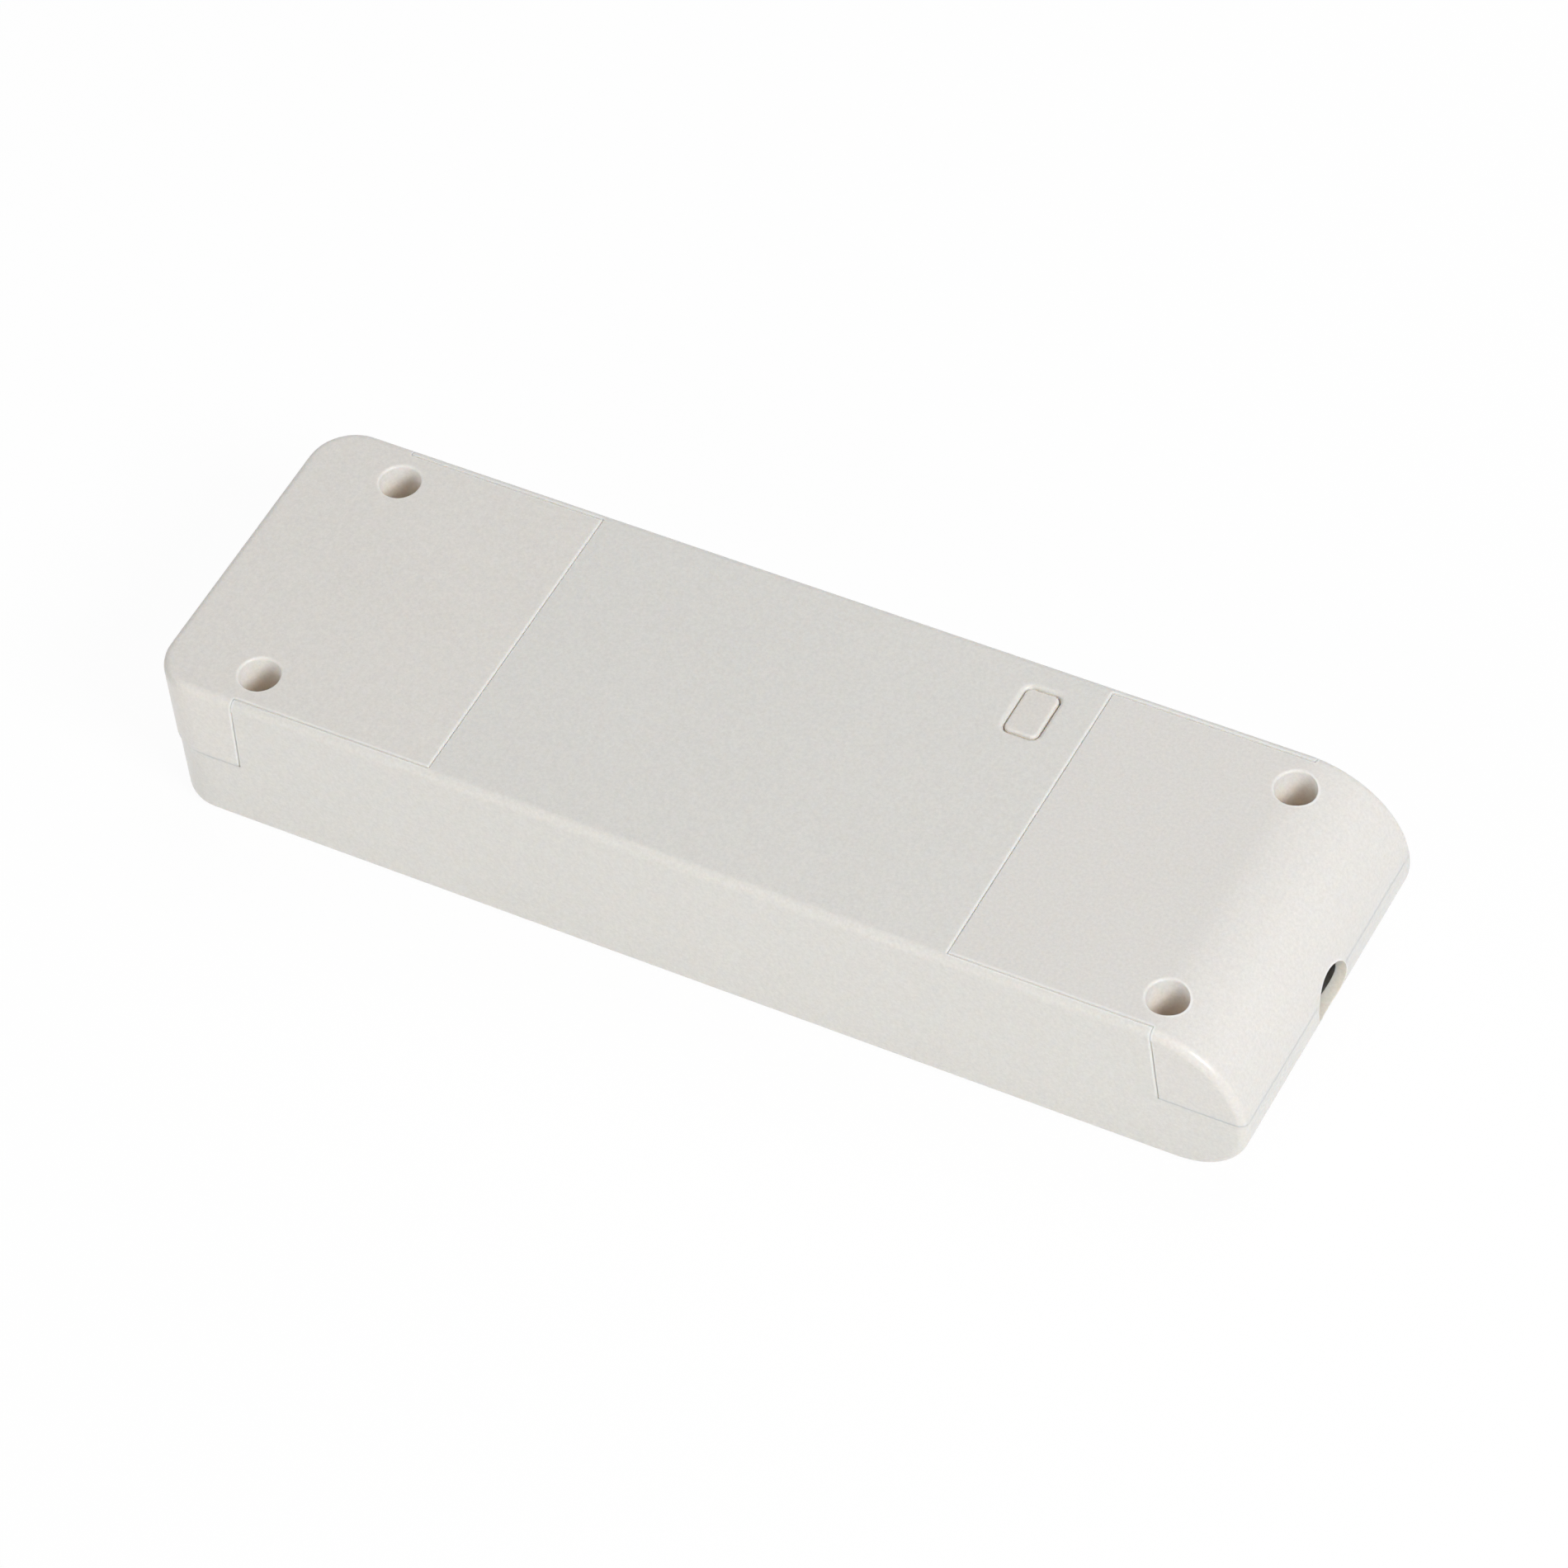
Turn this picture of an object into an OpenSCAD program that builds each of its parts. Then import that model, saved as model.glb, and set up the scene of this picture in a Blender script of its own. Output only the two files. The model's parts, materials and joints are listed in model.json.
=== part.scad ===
// LED driver: a moulded housing with two snap-on end covers, a push button
// and the circuit board with its parts inside.
// X runs along the body toward the rounded output end, Z is up, the base lies on Z = 0.

/* [Body] */
// Overall length
body_l = 193; // [160:1:240]
// Overall width
body_w = 60; // [52:0.5:80]
// Overall height
body_h = 29.5; // [26:0.5:36]
// Wall, roof and floor thickness
wall_t = 2; // [1.8:0.1:3]
// Fillet of the outer edges
edge_r = 1.5; // [0.8:0.1:2]
// Plan radius of the square end's corners
corner_r = 8; // [5:0.5:12]

/* [Rounded end] */
// Radius of the upper arc in side view
nose_upper_r = 17.2; // [15:0.2:20]
// Slope at which the upper arc hands over to the lower arc
nose_join_deg = 0; // [0:1:25]

/* [Covers] */
// Length of the fixed roof between the two covers
roof_l = 91.2; // [80:0.2:110]
// Thickness of the cover plates
plate_t = 2; // [1.6:0.1:2.6]
// Height of the parting line between cover skirt and housing
part_z = 14; // [12:0.5:16]
// Distance of the input cover's skirt seam beyond the screw hole axis
skirt_off_input = 1.1; // [0:0.1:2]
// Distance of the output cover's skirt seam beyond the screw hole axis
skirt_off_output = 0.5; // [0:0.1:2]
// Lean of the skirt seam
skirt_lean_deg = 2.5; // [0:0.5:5]
// Overhang of the input cover over the wall below it
skirt_step = 0.4; // [0:0.1:0.8]
// Visible gap along the cover seams
seam_gap = 0.05; // [0.05:0.05:0.4]
// Rounding of the edges along the cover seams
seam_edge_r = 0.35; // [0.1:0.05:0.4]
// Height of the locating lip inside the parting line
lip_h = 1.5; // [1:0.1:2.5]
// Thickness of the locating lip
lip_t = 1; // [0.8:0.1:1.4]
// Clearance round the locating lip
lip_fit = 0.15; // [0.1:0.05:0.3]

/* [Mounting holes] */
// Square end to the axis of its two screw holes
hole_in_input = 17; // [14:0.5:22]
// Rounded end to the axis of its two screw holes
hole_in_output = 16; // [14:0.5:22]
// Side face to the axis of the screw holes
hole_in_side = 7.5; // [7.5:0.1:10]
// Diameter of the counterbore that is open at the top
hole_d = 6.8; // [6:0.1:8]
// Diameter of the screw hole at the bottom
screw_hole_d = 4; // [3.4:0.1:5]
// Rounding of the hole's rim
rim_r = 0.4; // [0.2:0.1:0.6]
// Wall of the counterbore's tube
tube_t = 1.5; // [1.2:0.1:2]
// Height at which the cover's tube stands on the housing
tower_z = 10; // [7:0.5:12]
// Thickness of the tube's floor under the screw head
seat_t = 2.5; // [2:0.1:4]

/* [Push button] */
// Length along the body
button_l = 5.8; // [4.5:0.1:8]
// Width across the body
button_w = 9.3; // [7:0.1:12]
// Plan radius of the button's corners
button_r = 1.2; // [1.1:0.1:2]
// Rounding of the button's top edge
button_edge_r = 0.5; // [0.2:0.1:0.5]
// Distance of the button from the output seam
button_in_x = 9.8; // [8:0.2:14]
// Distance of the button from the side face
button_in_y = 10.25; // [9:0.25:14]
// Gap round the button
button_gap = 0.25; // [0.2:0.05:0.4]
// Rounding of the window's rim
window_rim_r = 0.8; // [0.3:0.1:1]
// Depth of the button's top below the roof
button_sink = 0.1; // [0:0.05:0.4]
// Travel of the button
button_travel = 0.4; // [0.2:0.05:0.8]
// Width of the flange that keeps the button in
flange_lap = 1; // [0.8:0.1:1.5]
// Thickness of that flange
flange_t = 1.2; // [1:0.1:2]
// Gap between the flange and the roof
flange_gap = 0.1; // [0.05:0.05:0.3]
// Wall of the guide collar under the roof
collar_t = 1.4; // [1:0.1:2]
// Clearance of the flange in the guide collar
collar_fit = 0.35; // [0.3:0.05:0.6]
// Diameter of the button's stem
stem_d = 4; // [3:0.1:5]

/* [Cable inlets] */
// Diameter of the inlets at both ends
cable_d = 10; // [8:0.1:11]
// Height of the inlets' axis
cable_z = 12; // [11:0.1:13]
// Distance of the inlets' axis from the middle, toward the button's side
cable_y = 0.8; // [0:0.1:2]

/* [Cord clamps] */
// Spacing of the clamp screws
clamp_dy = 20; // [18:0.5:24]
// Length of the clamp bar
clamp_l = 27; // [25:0.5:30]
// Width of the clamp bar
clamp_w = 8; // [6:0.5:10]
// Thickness of the clamp bar at its ends
clamp_t = 5; // [4:0.5:6]
// Diameter of the posts under the clamp bar
clamp_post_d = 6.5; // [5.5:0.1:7]
// Height of those posts above the base
clamp_z = 12.5; // [11:0.5:14]
// Width of the saddle rib under the cord
saddle_t = 3; // [2:0.5:5]
// How far the clamp and saddle bite into the cord
cord_bite = 0.8; // [0.2:0.1:1.5]

/* [Base plate] */
// Distance of the base plate's ends from the screw hole axes
base_in = 7; // [6:0.5:10]
// Clearance round the base plate
base_fit = 0.2; // [0.1:0.05:0.4]
// Distance of the base screws from the base plate's ends
base_screw_in = 8; // [6:0.5:12]
// Diameter of the base screw bosses
boss_d = 6; // [5:0.1:8]
// Top of the base screw bosses
boss_z = 12; // [9:0.5:14]

/* [Snap arms] */
// Distance of the snap arms from the cover seam
arm_in = 6; // [4:0.5:8]
// Length of the arms along the body
arm_l = 7; // [5:0.5:9]
// Thickness of the arms
arm_t = 1.5; // [1.2:0.1:2]
// Height of the catch ribs' underside
catch_z = 17.5; // [16:0.5:20]
// Height of the catch ribs
catch_h = 1.5; // [1:0.1:2.5]
// Depth of the catch ribs and hooks
catch_d = 0.8; // [0.5:0.1:1.2]
// Clearance between arms and catch ribs
catch_fit = 0.2; // [0.1:0.05:0.4]

/* [Circuit board] */
// Thickness of the circuit board
board_t = 1.6; // [1:0.2:2]
// Height of the board's underside above the base plate's top
board_lift = 4; // [3:0.5:5]
// Gap between the board and the side walls
board_gap = 2.6; // [2:0.1:4]
// Gap between the board and the base plate's ends
board_end_gap = 1.5; // [1:0.5:3]
// Diameter of the board posts
post_d = 6; // [5:0.1:7]
// Distance of the board posts from the seams
post_in = 6.5; // [5:0.5:8]
// Spacing of the board posts across the width
post_dy = 32; // [30:0.5:36]
// Gap between the board and the shield walls above it
shield_gap = 2; // [1.5:0.5:4]
// Gap between neighbouring parts on the board
part_gap = 1.2; // [0.8:0.1:2]

/* [Screws] */
// Shank diameter of the self-tapping screws
screw_d = 2.8; // [2.2:0.1:3]
// Head diameter
head_d = 5.4; // [4.5:0.1:6]
// Head height
head_h = 1.2; // [1:0.1:1.3]
// Clearance round shanks and heads
screw_fit = 0.15; // [0.1:0.05:0.3]
// Length of the base and clamp screws' shanks
screw_l = 8; // [6:0.5:9]
// Length of the board screws' shanks
board_screw_l = 6; // [4:0.5:6.5]

/* [Terminals] */
// Pitch of the input terminal
input_pitch = 7.5; // [5:0.5:8]
// Poles of the input terminal
input_poles = 3; // [2:1:3]
// Pitch of the output terminal
output_pitch = 5; // [5:0.5:6]
// Poles of the output terminal
output_poles = 4; // [2:1:5]
// Depth of the terminal bodies along the board
term_l = 12; // [10:0.5:14]
// Height of the terminal bodies
term_h = 12.5; // [10:0.5:14]
// Diameter of the wire entries
wire_d = 3; // [2.4:0.1:3.4]
// Diameter of the terminal screws
term_screw_d = 3.4; // [2.8:0.1:3.8]

/* [Mains side] */
// Fuse diameter
fuse_d = 5.2; // [4:0.2:6]
// Fuse length
fuse_l = 14; // [10:0.5:16]
// Varistor diameter
varistor_d = 10.5; // [8:0.5:12]
// Varistor thickness
varistor_t = 4.5; // [3.5:0.1:5]
// Inrush thermistor diameter
thermistor_d = 9; // [7:0.5:10]
// Filter capacitor length across the board
x_cap_l = 15; // [13:0.5:18]
// Filter capacitor width along the board
x_cap_w = 7; // [5:0.5:8]
// Filter capacitor height
x_cap_h = 12; // [10:0.5:14]
// Length of the bridge rectifier across the board
bridge_l = 15; // [12:0.5:18]
// Thickness of the bridge rectifier
bridge_t = 4; // [3:0.1:5]
// Height of the bridge rectifier
bridge_h = 11; // [9:0.5:13]
// Choke ring outer diameter
choke_d = 13; // [10:0.5:14]
// Choke ring bore
choke_bore = 6; // [5:0.5:7]
// Choke ring thickness
choke_t = 5; // [4:0.5:7]
// Thickness of the winding on the choke ring
choke_wire = 1; // [0.6:0.1:1.4]
// Bulk capacitor diameter
bulk_d = 12.5; // [10:0.5:14]
// Bulk capacitor length
bulk_l = 22; // [18:0.5:25]

/* [Power stage] */
// Transformer core length along the board
core_l = 20; // [16:0.5:22]
// Transformer core width across the board
core_w = 24; // [20:0.5:28]
// Transformer core height
core_h = 11; // [9:0.5:12]
// Thickness of the core's legs
core_leg = 4; // [3:0.5:5]
// Height of the bobbin's pin rail under the core
rail_h = 2.5; // [2:0.5:3]
// Radial clearance between core and winding
wind_fit = 0.6; // [0.4:0.1:1.2]
// Heatsink plate thickness
sink_t = 1.5; // [1:0.1:2]
// Heatsink width across the board
sink_w = 15; // [12:0.5:18]
// Heatsink height
sink_h = 13.5; // [11:0.5:14]
// Heatsink fin depth
fin_d = 4; // [3:0.5:6]
// Number of heatsink fins
fin_n = 4; // [3:1:6]
// Transistor body width
fet_w = 10; // [8:0.5:11]
// Transistor body thickness
fet_t = 4.2; // [3:0.1:4.5]
// Transistor body height
fet_h = 9; // [8:0.5:10]
// Length of the transistor's legs above the board
fet_leg = 3.5; // [2:0.5:5]

/* [Output side] */
// Output capacitor diameter
out_cap_d = 10; // [8:0.5:10.5]
// Output capacitor height
out_cap_h = 14; // [11:0.5:14.5]
// Safety capacitor diameter
y_cap_d = 8; // [6:0.5:9]
// Safety capacitor thickness
y_cap_t = 4; // [3:0.1:5]
// Optocoupler length
opto_l = 6.5; // [5:0.5:8]
// Optocoupler width
opto_w = 4.6; // [4:0.1:5]
// Optocoupler height
opto_h = 3.5; // [3:0.1:4]
// Radio board length along the board
radio_l = 12; // [10:0.5:13]
// Radio board width across the board
radio_w = 16; // [13:0.5:18]
// Radio board thickness
radio_t = 0.8; // [0.6:0.1:1.2]
// Height of the radio's shield
shield_h = 2.2; // [1.6:0.1:3]
// Border of the radio board round its shield
shield_in = 1; // [0.5:0.1:2]
// Length of the antenna end of the radio board
antenna_l = 5; // [4:0.5:6]
// Size of a dimming transistor
dim_s = 5.2; // [4:0.1:5.5]
// Height of a dimming transistor
dim_h = 2.3; // [1.5:0.1:3]
// Size of the switch body
switch_s = 6.2; // [5.5:0.1:7]
// Height of the switch body
switch_h = 3.5; // [3:0.1:4]
// Height of the switch with its plunger
switch_total = 12; // [9:0.5:12]
// Diameter of the switch plunger
plunger_d = 3.4; // [3:0.1:3.8]
// Radial clearance of the plunger
plunger_fit = 0.3; // [0.25:0.05:0.5]

/* [Hidden] */
over = 1;
half_w = body_w / 2;
x_end = body_l / 2;
ceiling_z = body_h - wall_t;
inner_y = half_w - wall_t;
plate_y = half_w - edge_r;
plate_z = body_h - plate_t;

join_sin = sin(nose_join_deg);
join_cos = cos(nose_join_deg);
nose_lower_r = (body_h - nose_upper_r * (1 - join_sin)) / (1 + join_sin);
upper_z = body_h - nose_upper_r;
lower_z = nose_lower_r;
lower_x = x_end - nose_lower_r;
upper_x = lower_x - (nose_upper_r - nose_lower_r) * join_cos;
sector_k = 2 * nose_upper_r;

tower_l = hole_in_input - x_end;
tower_r = x_end - hole_in_output;
mid_x = (tower_l + tower_r) / 2;
hole_dy = body_w - 2 * hole_in_side;
seam_l = mid_x - roof_l / 2;
seam_r = mid_x + roof_l / 2;
tube_d = hole_d + 2 * tube_t;
lean_x = (body_h - part_z) * tan(skirt_lean_deg);
skirt_l = tower_l - skirt_off_input;
skirt_r = tower_r + skirt_off_output;

base_x0 = tower_l + base_in;
base_x1 = tower_r - base_in;
base_screw_xs = [base_x0 + base_screw_in, base_x1 - base_screw_in];
boss_y = inner_y - boss_d / 2 + screw_fit;
pilot_d = screw_d + 2 * screw_fit;
bore_d = head_d + 2 * screw_fit;

board_z = wall_t + board_lift;
board_top = board_z + board_t;
board_x0 = base_x0 + board_end_gap;
board_x1 = base_x1 - board_end_gap;
board_w = 2 * (inner_y - board_gap);
post_xs = [seam_l - post_in, seam_r + post_in];

ledge_w = plate_t;
wall_in_l = seam_l + wall_t;
wall_in_r = seam_r - wall_t;
shield_wall_z = board_top + shield_gap;

button_x = seam_r - button_in_x;
button_y = half_w - button_in_y;
window_l = button_l + 2 * button_gap;
window_w = button_w + 2 * button_gap;
window_r = button_r + button_gap;
flange_l = button_l + 2 * flange_lap;
flange_w = button_w + 2 * flange_lap;
flange_r = button_r + flange_lap;
flange_z = ceiling_z - flange_gap - flange_t;
button_top = body_h - button_sink;
plunger_z = board_top + switch_total;

input_term_x = board_x0 + term_l / 2 + part_gap;
output_term_x = board_x1 - term_l / 2 - part_gap;

row0 = part_gap - board_w / 2;
col1_w = max(fuse_d, varistor_t);
col1_x = wall_in_l + part_gap + col1_w / 2;
col2_w = max(x_cap_w, bridge_t);
col2_x = col1_x + col1_w / 2 + part_gap + col2_w / 2;
col3_w = choke_t + 2 * choke_wire;
col3_x = col2_x + col2_w / 2 + part_gap + col3_w / 2;
sink_l = sink_t + fin_d;
col4_w = max(bulk_d, fet_t + sink_l);
col4_x = col3_x + col3_w / 2 + part_gap + col4_w / 2;
col5_x = col4_x + col4_w / 2 + part_gap + core_l / 2;
col6_w = max(out_cap_d, fet_t + sink_l);
col6_x = col5_x + core_l / 2 + part_gap + col6_w / 2;

fuse_y = row0 + fuse_l / 2;
varistor_y = fuse_y + fuse_l / 2 + part_gap + varistor_d / 2;
thermistor_y = varistor_y + varistor_d / 2 + part_gap + thermistor_d / 2;
x_cap_y = row0 + x_cap_l / 2;
bridge_y = x_cap_y + x_cap_l / 2 + part_gap + bridge_l / 2;
choke_y = row0 + choke_d / 2 + choke_wire;
chip_y = choke_y + choke_d / 2 + choke_wire + part_gap + col3_w / 2;
bulk_y = row0 + bulk_l / 2;
switch_sink_y = bulk_y + bulk_l / 2 + part_gap + sink_w / 2;
opto_y = row0 + opto_w / 2;
core_y = opto_y + opto_w / 2 + part_gap + core_w / 2;
y_cap_y = core_y + core_w / 2 + part_gap + y_cap_d / 2;
diode_sink_y = row0 + sink_w / 2;
out_cap_y1 = diode_sink_y + sink_w / 2 + part_gap + out_cap_d / 2;
out_cap_y2 = out_cap_y1 + out_cap_d + part_gap;
dim_ys = [row0 + dim_s / 2, row0 + dim_s * 1.5 + part_gap];
radio_y = row0 + 2 * (dim_s + part_gap) + radio_w / 2;

$fn = 96;

// Box between two opposite corners
module box(a, b) {
    translate(a)
        cube(b - a);
}

// Rectangle with rounded corners, centred
module round_rect(l, w, r) {
    square([l - 2 * r, w], center = true);
    square([l, w - 2 * r], center = true);
    for (sx = [-1, 1])
        for (sy = [-1, 1])
            translate([sx * (l / 2 - r), sy * (w / 2 - r)])
                circle(r);
}

// Upright block with rounded corners and a rounded top edge
module soft_block(l, w, h, r, f) {
    linear_extrude(h - f)
        round_rect(l, w, r);
    linear_extrude(h)
        round_rect(l - 2 * f, w - 2 * f, r - f);
    for (sx = [-1, 1])
        translate([sx * (l / 2 - f), r - w / 2, h - f])
            rotate([-90, 0, 0])
                cylinder(r = f, h = w - 2 * r);
    for (sy = [-1, 1])
        translate([r - l / 2, sy * (w / 2 - f), h - f])
            rotate([0, 90, 0])
                cylinder(r = f, h = l - 2 * r);
    for (sx = [-1, 1])
        for (sy = [-1, 1])
            translate([sx * (l / 2 - r), sy * (w / 2 - r), h - f])
                rotate_extrude()
                    translate([r - f, 0])
                        intersection() {
                            circle(f);
                            translate([f - r, -f])
                                square([r, 2 * f]);
                        }
}

// Pan-head screw with a cross recess, head underside at the origin, shank downward
module pan_screw(d, l) {
    difference() {
        cylinder(d = head_d, h = head_h);
        for (a = [0, 90])
            rotate(a)
                translate([-head_d / 3, -head_h / 4, head_h / 2])
                    cube([head_d / 1.5, head_h / 2, head_h]);
    }
    translate([0, 0, -l])
        cylinder(d = d, h = l);
}

// Plan of the square end up to mid-length, inset all round and set back at the end
module end_plan(inset, back) {
    start = back - x_end;
    translate([start + corner_r, inset - half_w])
        square([-start - corner_r, body_w - 2 * inset]);
    translate([start + inset, corner_r - half_w])
        square([corner_r, body_w - 2 * corner_r]);
    for (s = [-1, 1])
        translate([start + corner_r, s * (half_w - corner_r)])
            circle(corner_r - inset);
}

// Sectors of the two arcs of the rounded end in side view, each reaching back into the straight run
module upper_sector() {
    translate([upper_x, upper_z])
        polygon([[0, 0], sector_k * [join_cos, join_sin], [sector_k, sector_k], [-over, sector_k], [-over, 0]]);
}

module lower_sector() {
    translate([lower_x, lower_z])
        polygon([[0, 0], [-over, 0], [-over, -sector_k], [sector_k, -sector_k], sector_k * [join_cos, join_sin]]);
}

// Side view of the rounded half, inset all round
module nose_profile(inset) {
    translate([0, inset])
        square([upper_x, body_h - 2 * inset]);
    polygon([[upper_x - over, inset], [lower_x, inset], [lower_x, lower_z], [upper_x, upper_z],
        [upper_x - over, upper_z]]);
    intersection() {
        translate([upper_x, upper_z])
            circle(nose_upper_r - inset);
        upper_sector();
    }
    intersection() {
        translate([lower_x, lower_z])
            circle(nose_lower_r - inset);
        lower_sector();
    }
}

// Side-view shape given thickness across the body
module across(w) {
    rotate([90, 0, 0])
        linear_extrude(w, center = true)
            children();
}

// Half section of a round form with both outer edges rounded, axis on the left
module edge_section(r, h) {
    square([r - edge_r, h]);
    translate([0, edge_r])
        square([r, h - 2 * edge_r]);
    for (y = [edge_r, h - edge_r])
        translate([r - edge_r, y])
            circle(edge_r);
}

// Straight run of the body with its four long edges rounded
module body_run(x0, x1) {
    translate([x0, 0, body_h / 2])
        rotate([90, 0, 90])
            linear_extrude(x1 - x0)
                round_rect(body_w, body_h, edge_r);
}

// End face and rounded corners of the square end
module square_end(axis_x) {
    corner_y = half_w - corner_r;
    translate([axis_x, 0, 0])
        mirror([1, 0, 0])
            across(2 * corner_y)
                edge_section(corner_r, body_h);
    for (s = [-1, 1])
        intersection() {
            translate([axis_x, s * corner_y, 0])
                rotate_extrude()
                    edge_section(corner_r, body_h);
            translate([axis_x - body_h, s * (corner_y + body_h), 0])
                cube(2 * body_h, center = true);
        }
}

// Wheel with rounded rims whose sector makes one arc of the rounded end
module nose_wheel(x, z, r) {
    translate([x, half_w, z])
        rotate([90, 0, 0])
            rotate_extrude()
                edge_section(r, body_w);
}

module rounded_end() {
    intersection() {
        nose_wheel(upper_x, upper_z, nose_upper_r);
        across(2 * body_w)
            upper_sector();
    }
    intersection() {
        nose_wheel(lower_x, lower_z, nose_lower_r);
        across(2 * body_w)
            lower_sector();
    }
    intersection() {
        body_run(upper_x - over, lower_x);
        across(2 * body_w)
            polygon([[upper_x - over, -over], [lower_x, -over], [lower_x, lower_z], [upper_x, upper_z],
                [upper_x - over, upper_z]]);
    }
}

// Outer form of the whole driver, its square end set back
module envelope(back) {
    axis_x = back + corner_r - x_end;
    square_end(axis_x);
    body_run(axis_x, upper_x);
    rounded_end();
}

// Inside of the driver, inset from the outer form between two heights
module hollow(inset, z0, z1) {
    translate([0, 0, z0])
        linear_extrude(z1 - z0)
            end_plan(inset, 0);
    intersection() {
        across(body_w - 2 * inset)
            nose_profile(inset);
        box([-over, -half_w, z0], [x_end, half_w, z1]);
    }
}

// Space of a cover: the plate on top and the skirt round the end
module cover_plate_zone(side, gap) {
    seam = side > 0 ? seam_r : seam_l;
    inner = seam + side * gap;
    outer = (side > 0 ? tower_r : tower_l) + side * tube_d;
    box([min(inner, outer), gap - plate_y, plate_z], [max(inner, outer), plate_y - gap, body_h + over]);
}

module skirt_zone(side, gap) {
    top = (side > 0 ? skirt_r : skirt_l) + side * gap;
    tip = side * (x_end + over);
    across(body_w + 2 * over)
        polygon([[top, body_h + over], [top, body_h], [top + side * lean_x, part_z], [tip, part_z],
            [tip, body_h + over]]);
}

// Round hole's rim, rounded over, top plane at Z = 0
module hole_rim(d, f) {
    rotate_extrude()
        difference() {
            translate([d / 2 - f / 2, -f])
                square([f * 1.5, f + over]);
            translate([d / 2 + f, -f])
                circle(f);
        }
}

// Window's rim, rounded over, top plane at Z = 0
module window_rim(l, w, r, f) {
    for (s = [-1, 1]) {
        translate([0, s * w / 2, 0])
            rotate([90, 0, 90])
                linear_extrude(l - 2 * r, center = true)
                    rim_corner(s, f);
        translate([s * l / 2, 0, 0])
            rotate([90, 0, 0])
                linear_extrude(w - 2 * r, center = true)
                    rim_corner(s, f);
    }
    for (sx = [-1, 1])
        for (sy = [-1, 1])
            intersection() {
                translate([sx * (l / 2 - r), sy * (w / 2 - r), 0])
                    hole_rim(2 * r, f);
                translate([sx * (l / 2 - r + sector_k / 2), sy * (w / 2 - r + sector_k / 2), 0])
                    cube(sector_k, center = true);
            }
}

module rim_corner(s, f) {
    scale_x = s * f;
    difference() {
        translate([min(-scale_x / 2, scale_x), -f])
            square([f * 1.5, f + over]);
        translate([scale_x, -f])
            circle(f);
    }
}

// Rounding of the edges along a cover's seams, for the edge that lies gap beyond the housing's
// edge; into is 1 for the cover's own edges and -1 for the housing's
module seam_rounds(side, gap, into) {
    seam = (side > 0 ? seam_r : seam_l) + side * gap;
    skirt = (side > 0 ? skirt_r : skirt_l) + side * gap;
    run_l = abs(skirt - seam);
    drop = (body_h - part_z) / cos(skirt_lean_deg);
    round_l = drop - (edge_r + seam_edge_r) / cos(skirt_lean_deg);
    translate([seam, 0, body_h])
        rotate([90, 0, 0])
            linear_extrude(2 * plate_y, center = true)
                rim_corner(side * into, seam_edge_r);
    for (s = [-1, 1]) {
        translate([(seam + skirt) / 2, s * (plate_y - gap), body_h])
            rotate([90, 0, 90])
                linear_extrude(run_l, center = true)
                    rim_corner(-s * into, seam_edge_r);
        translate([skirt, s * half_w, body_h])
            mirror([0, s < 0 ? 1 : 0, 0])
                rotate([0, -side * skirt_lean_deg, 0])
                    translate([0, 0, -drop])
                        linear_extrude(round_l)
                            rim_corner(side * into, seam_edge_r);
    }
}

// Points of the four mounting holes
module at_towers(xs) {
    for (x = xs)
        for (s = [-1, 1])
            translate([x, s * hole_dy / 2, 0])
                children();
}

// Bores of both cable inlets
module cable_bores() {
    translate([-x_end - over, cable_y, cable_z])
        rotate([0, 90, 0])
            cylinder(d = cable_d, h = hole_in_input - clamp_w / 2);
    translate([tower_r + clamp_w / 2, cable_y, cable_z])
        rotate([0, 90, 0])
            cylinder(d = cable_d, h = hole_in_output);
}

// Opening in the roof over a wiring space, under the cover's plate
module wiring_opening(side) {
    seam = side > 0 ? seam_r : seam_l;
    outer = (side > 0 ? tower_r : tower_l) + side * tube_d;
    box([min(seam, outer), -inner_y, ceiling_z - over], [max(seam, outer), inner_y, body_h + over]);
}

// Lip on the housing that locates the skirt of a cover
module locating_lip(side, fit) {
    intersection() {
        difference() {
            hollow(wall_t - lip_t - fit, part_z - lip_h, part_z + lip_h + fit);
            hollow(wall_t, part_z - lip_h - over, part_z + lip_h + fit + over);
        }
        translate([side * (lean_x + over - fit), 0, 0])
            translate([0, 0, -lip_h])
                skirt_zone(side, 0);
    }
}

module housing_walls() {
    difference() {
        envelope(skirt_step);
        hollow(wall_t, wall_t, ceiling_z);
        box([base_x0, -inner_y, -over], [base_x1, inner_y, wall_t + over]);
        for (side = [-1, 1]) {
            wiring_opening(side);
            cover_plate_zone(side, 0);
            skirt_zone(side, 0);
            seam_rounds(side, 0, -1);
        }
    }
    for (side = [-1, 1])
        locating_lip(side, 0);
}

// Shield wall between the board's middle and a wiring space, with the ledge for the cover plate
module shield_wall(side) {
    seam = side > 0 ? seam_r : seam_l;
    inner = seam - side * wall_t;
    outer = seam + side * ledge_w;
    wall_y = inner_y + seam_gap;
    box([min(inner, seam), -wall_y, shield_wall_z], [max(inner, seam), wall_y, ceiling_z + seam_gap]);
    box([min(inner, outer), -wall_y, plate_z - ledge_w], [max(inner, outer), wall_y, plate_z]);
}

// Post with a saddle rib for the cord clamp
module clamp_seat(x) {
    for (s = [-1, 1])
        translate([x, cable_y + s * clamp_dy / 2, wall_t - seam_gap])
            cylinder(d = clamp_post_d, h = clamp_z - wall_t + seam_gap);
    difference() {
        box([x - saddle_t / 2, cable_y - clamp_dy / 2, wall_t - seam_gap],
            [x + saddle_t / 2, cable_y + clamp_dy / 2, cable_z]);
        translate([x, cable_y, cable_z])
            rotate([0, 90, 0])
                cylinder(d = cable_d - cord_bite, h = 2 * saddle_t, center = true);
    }
}

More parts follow.
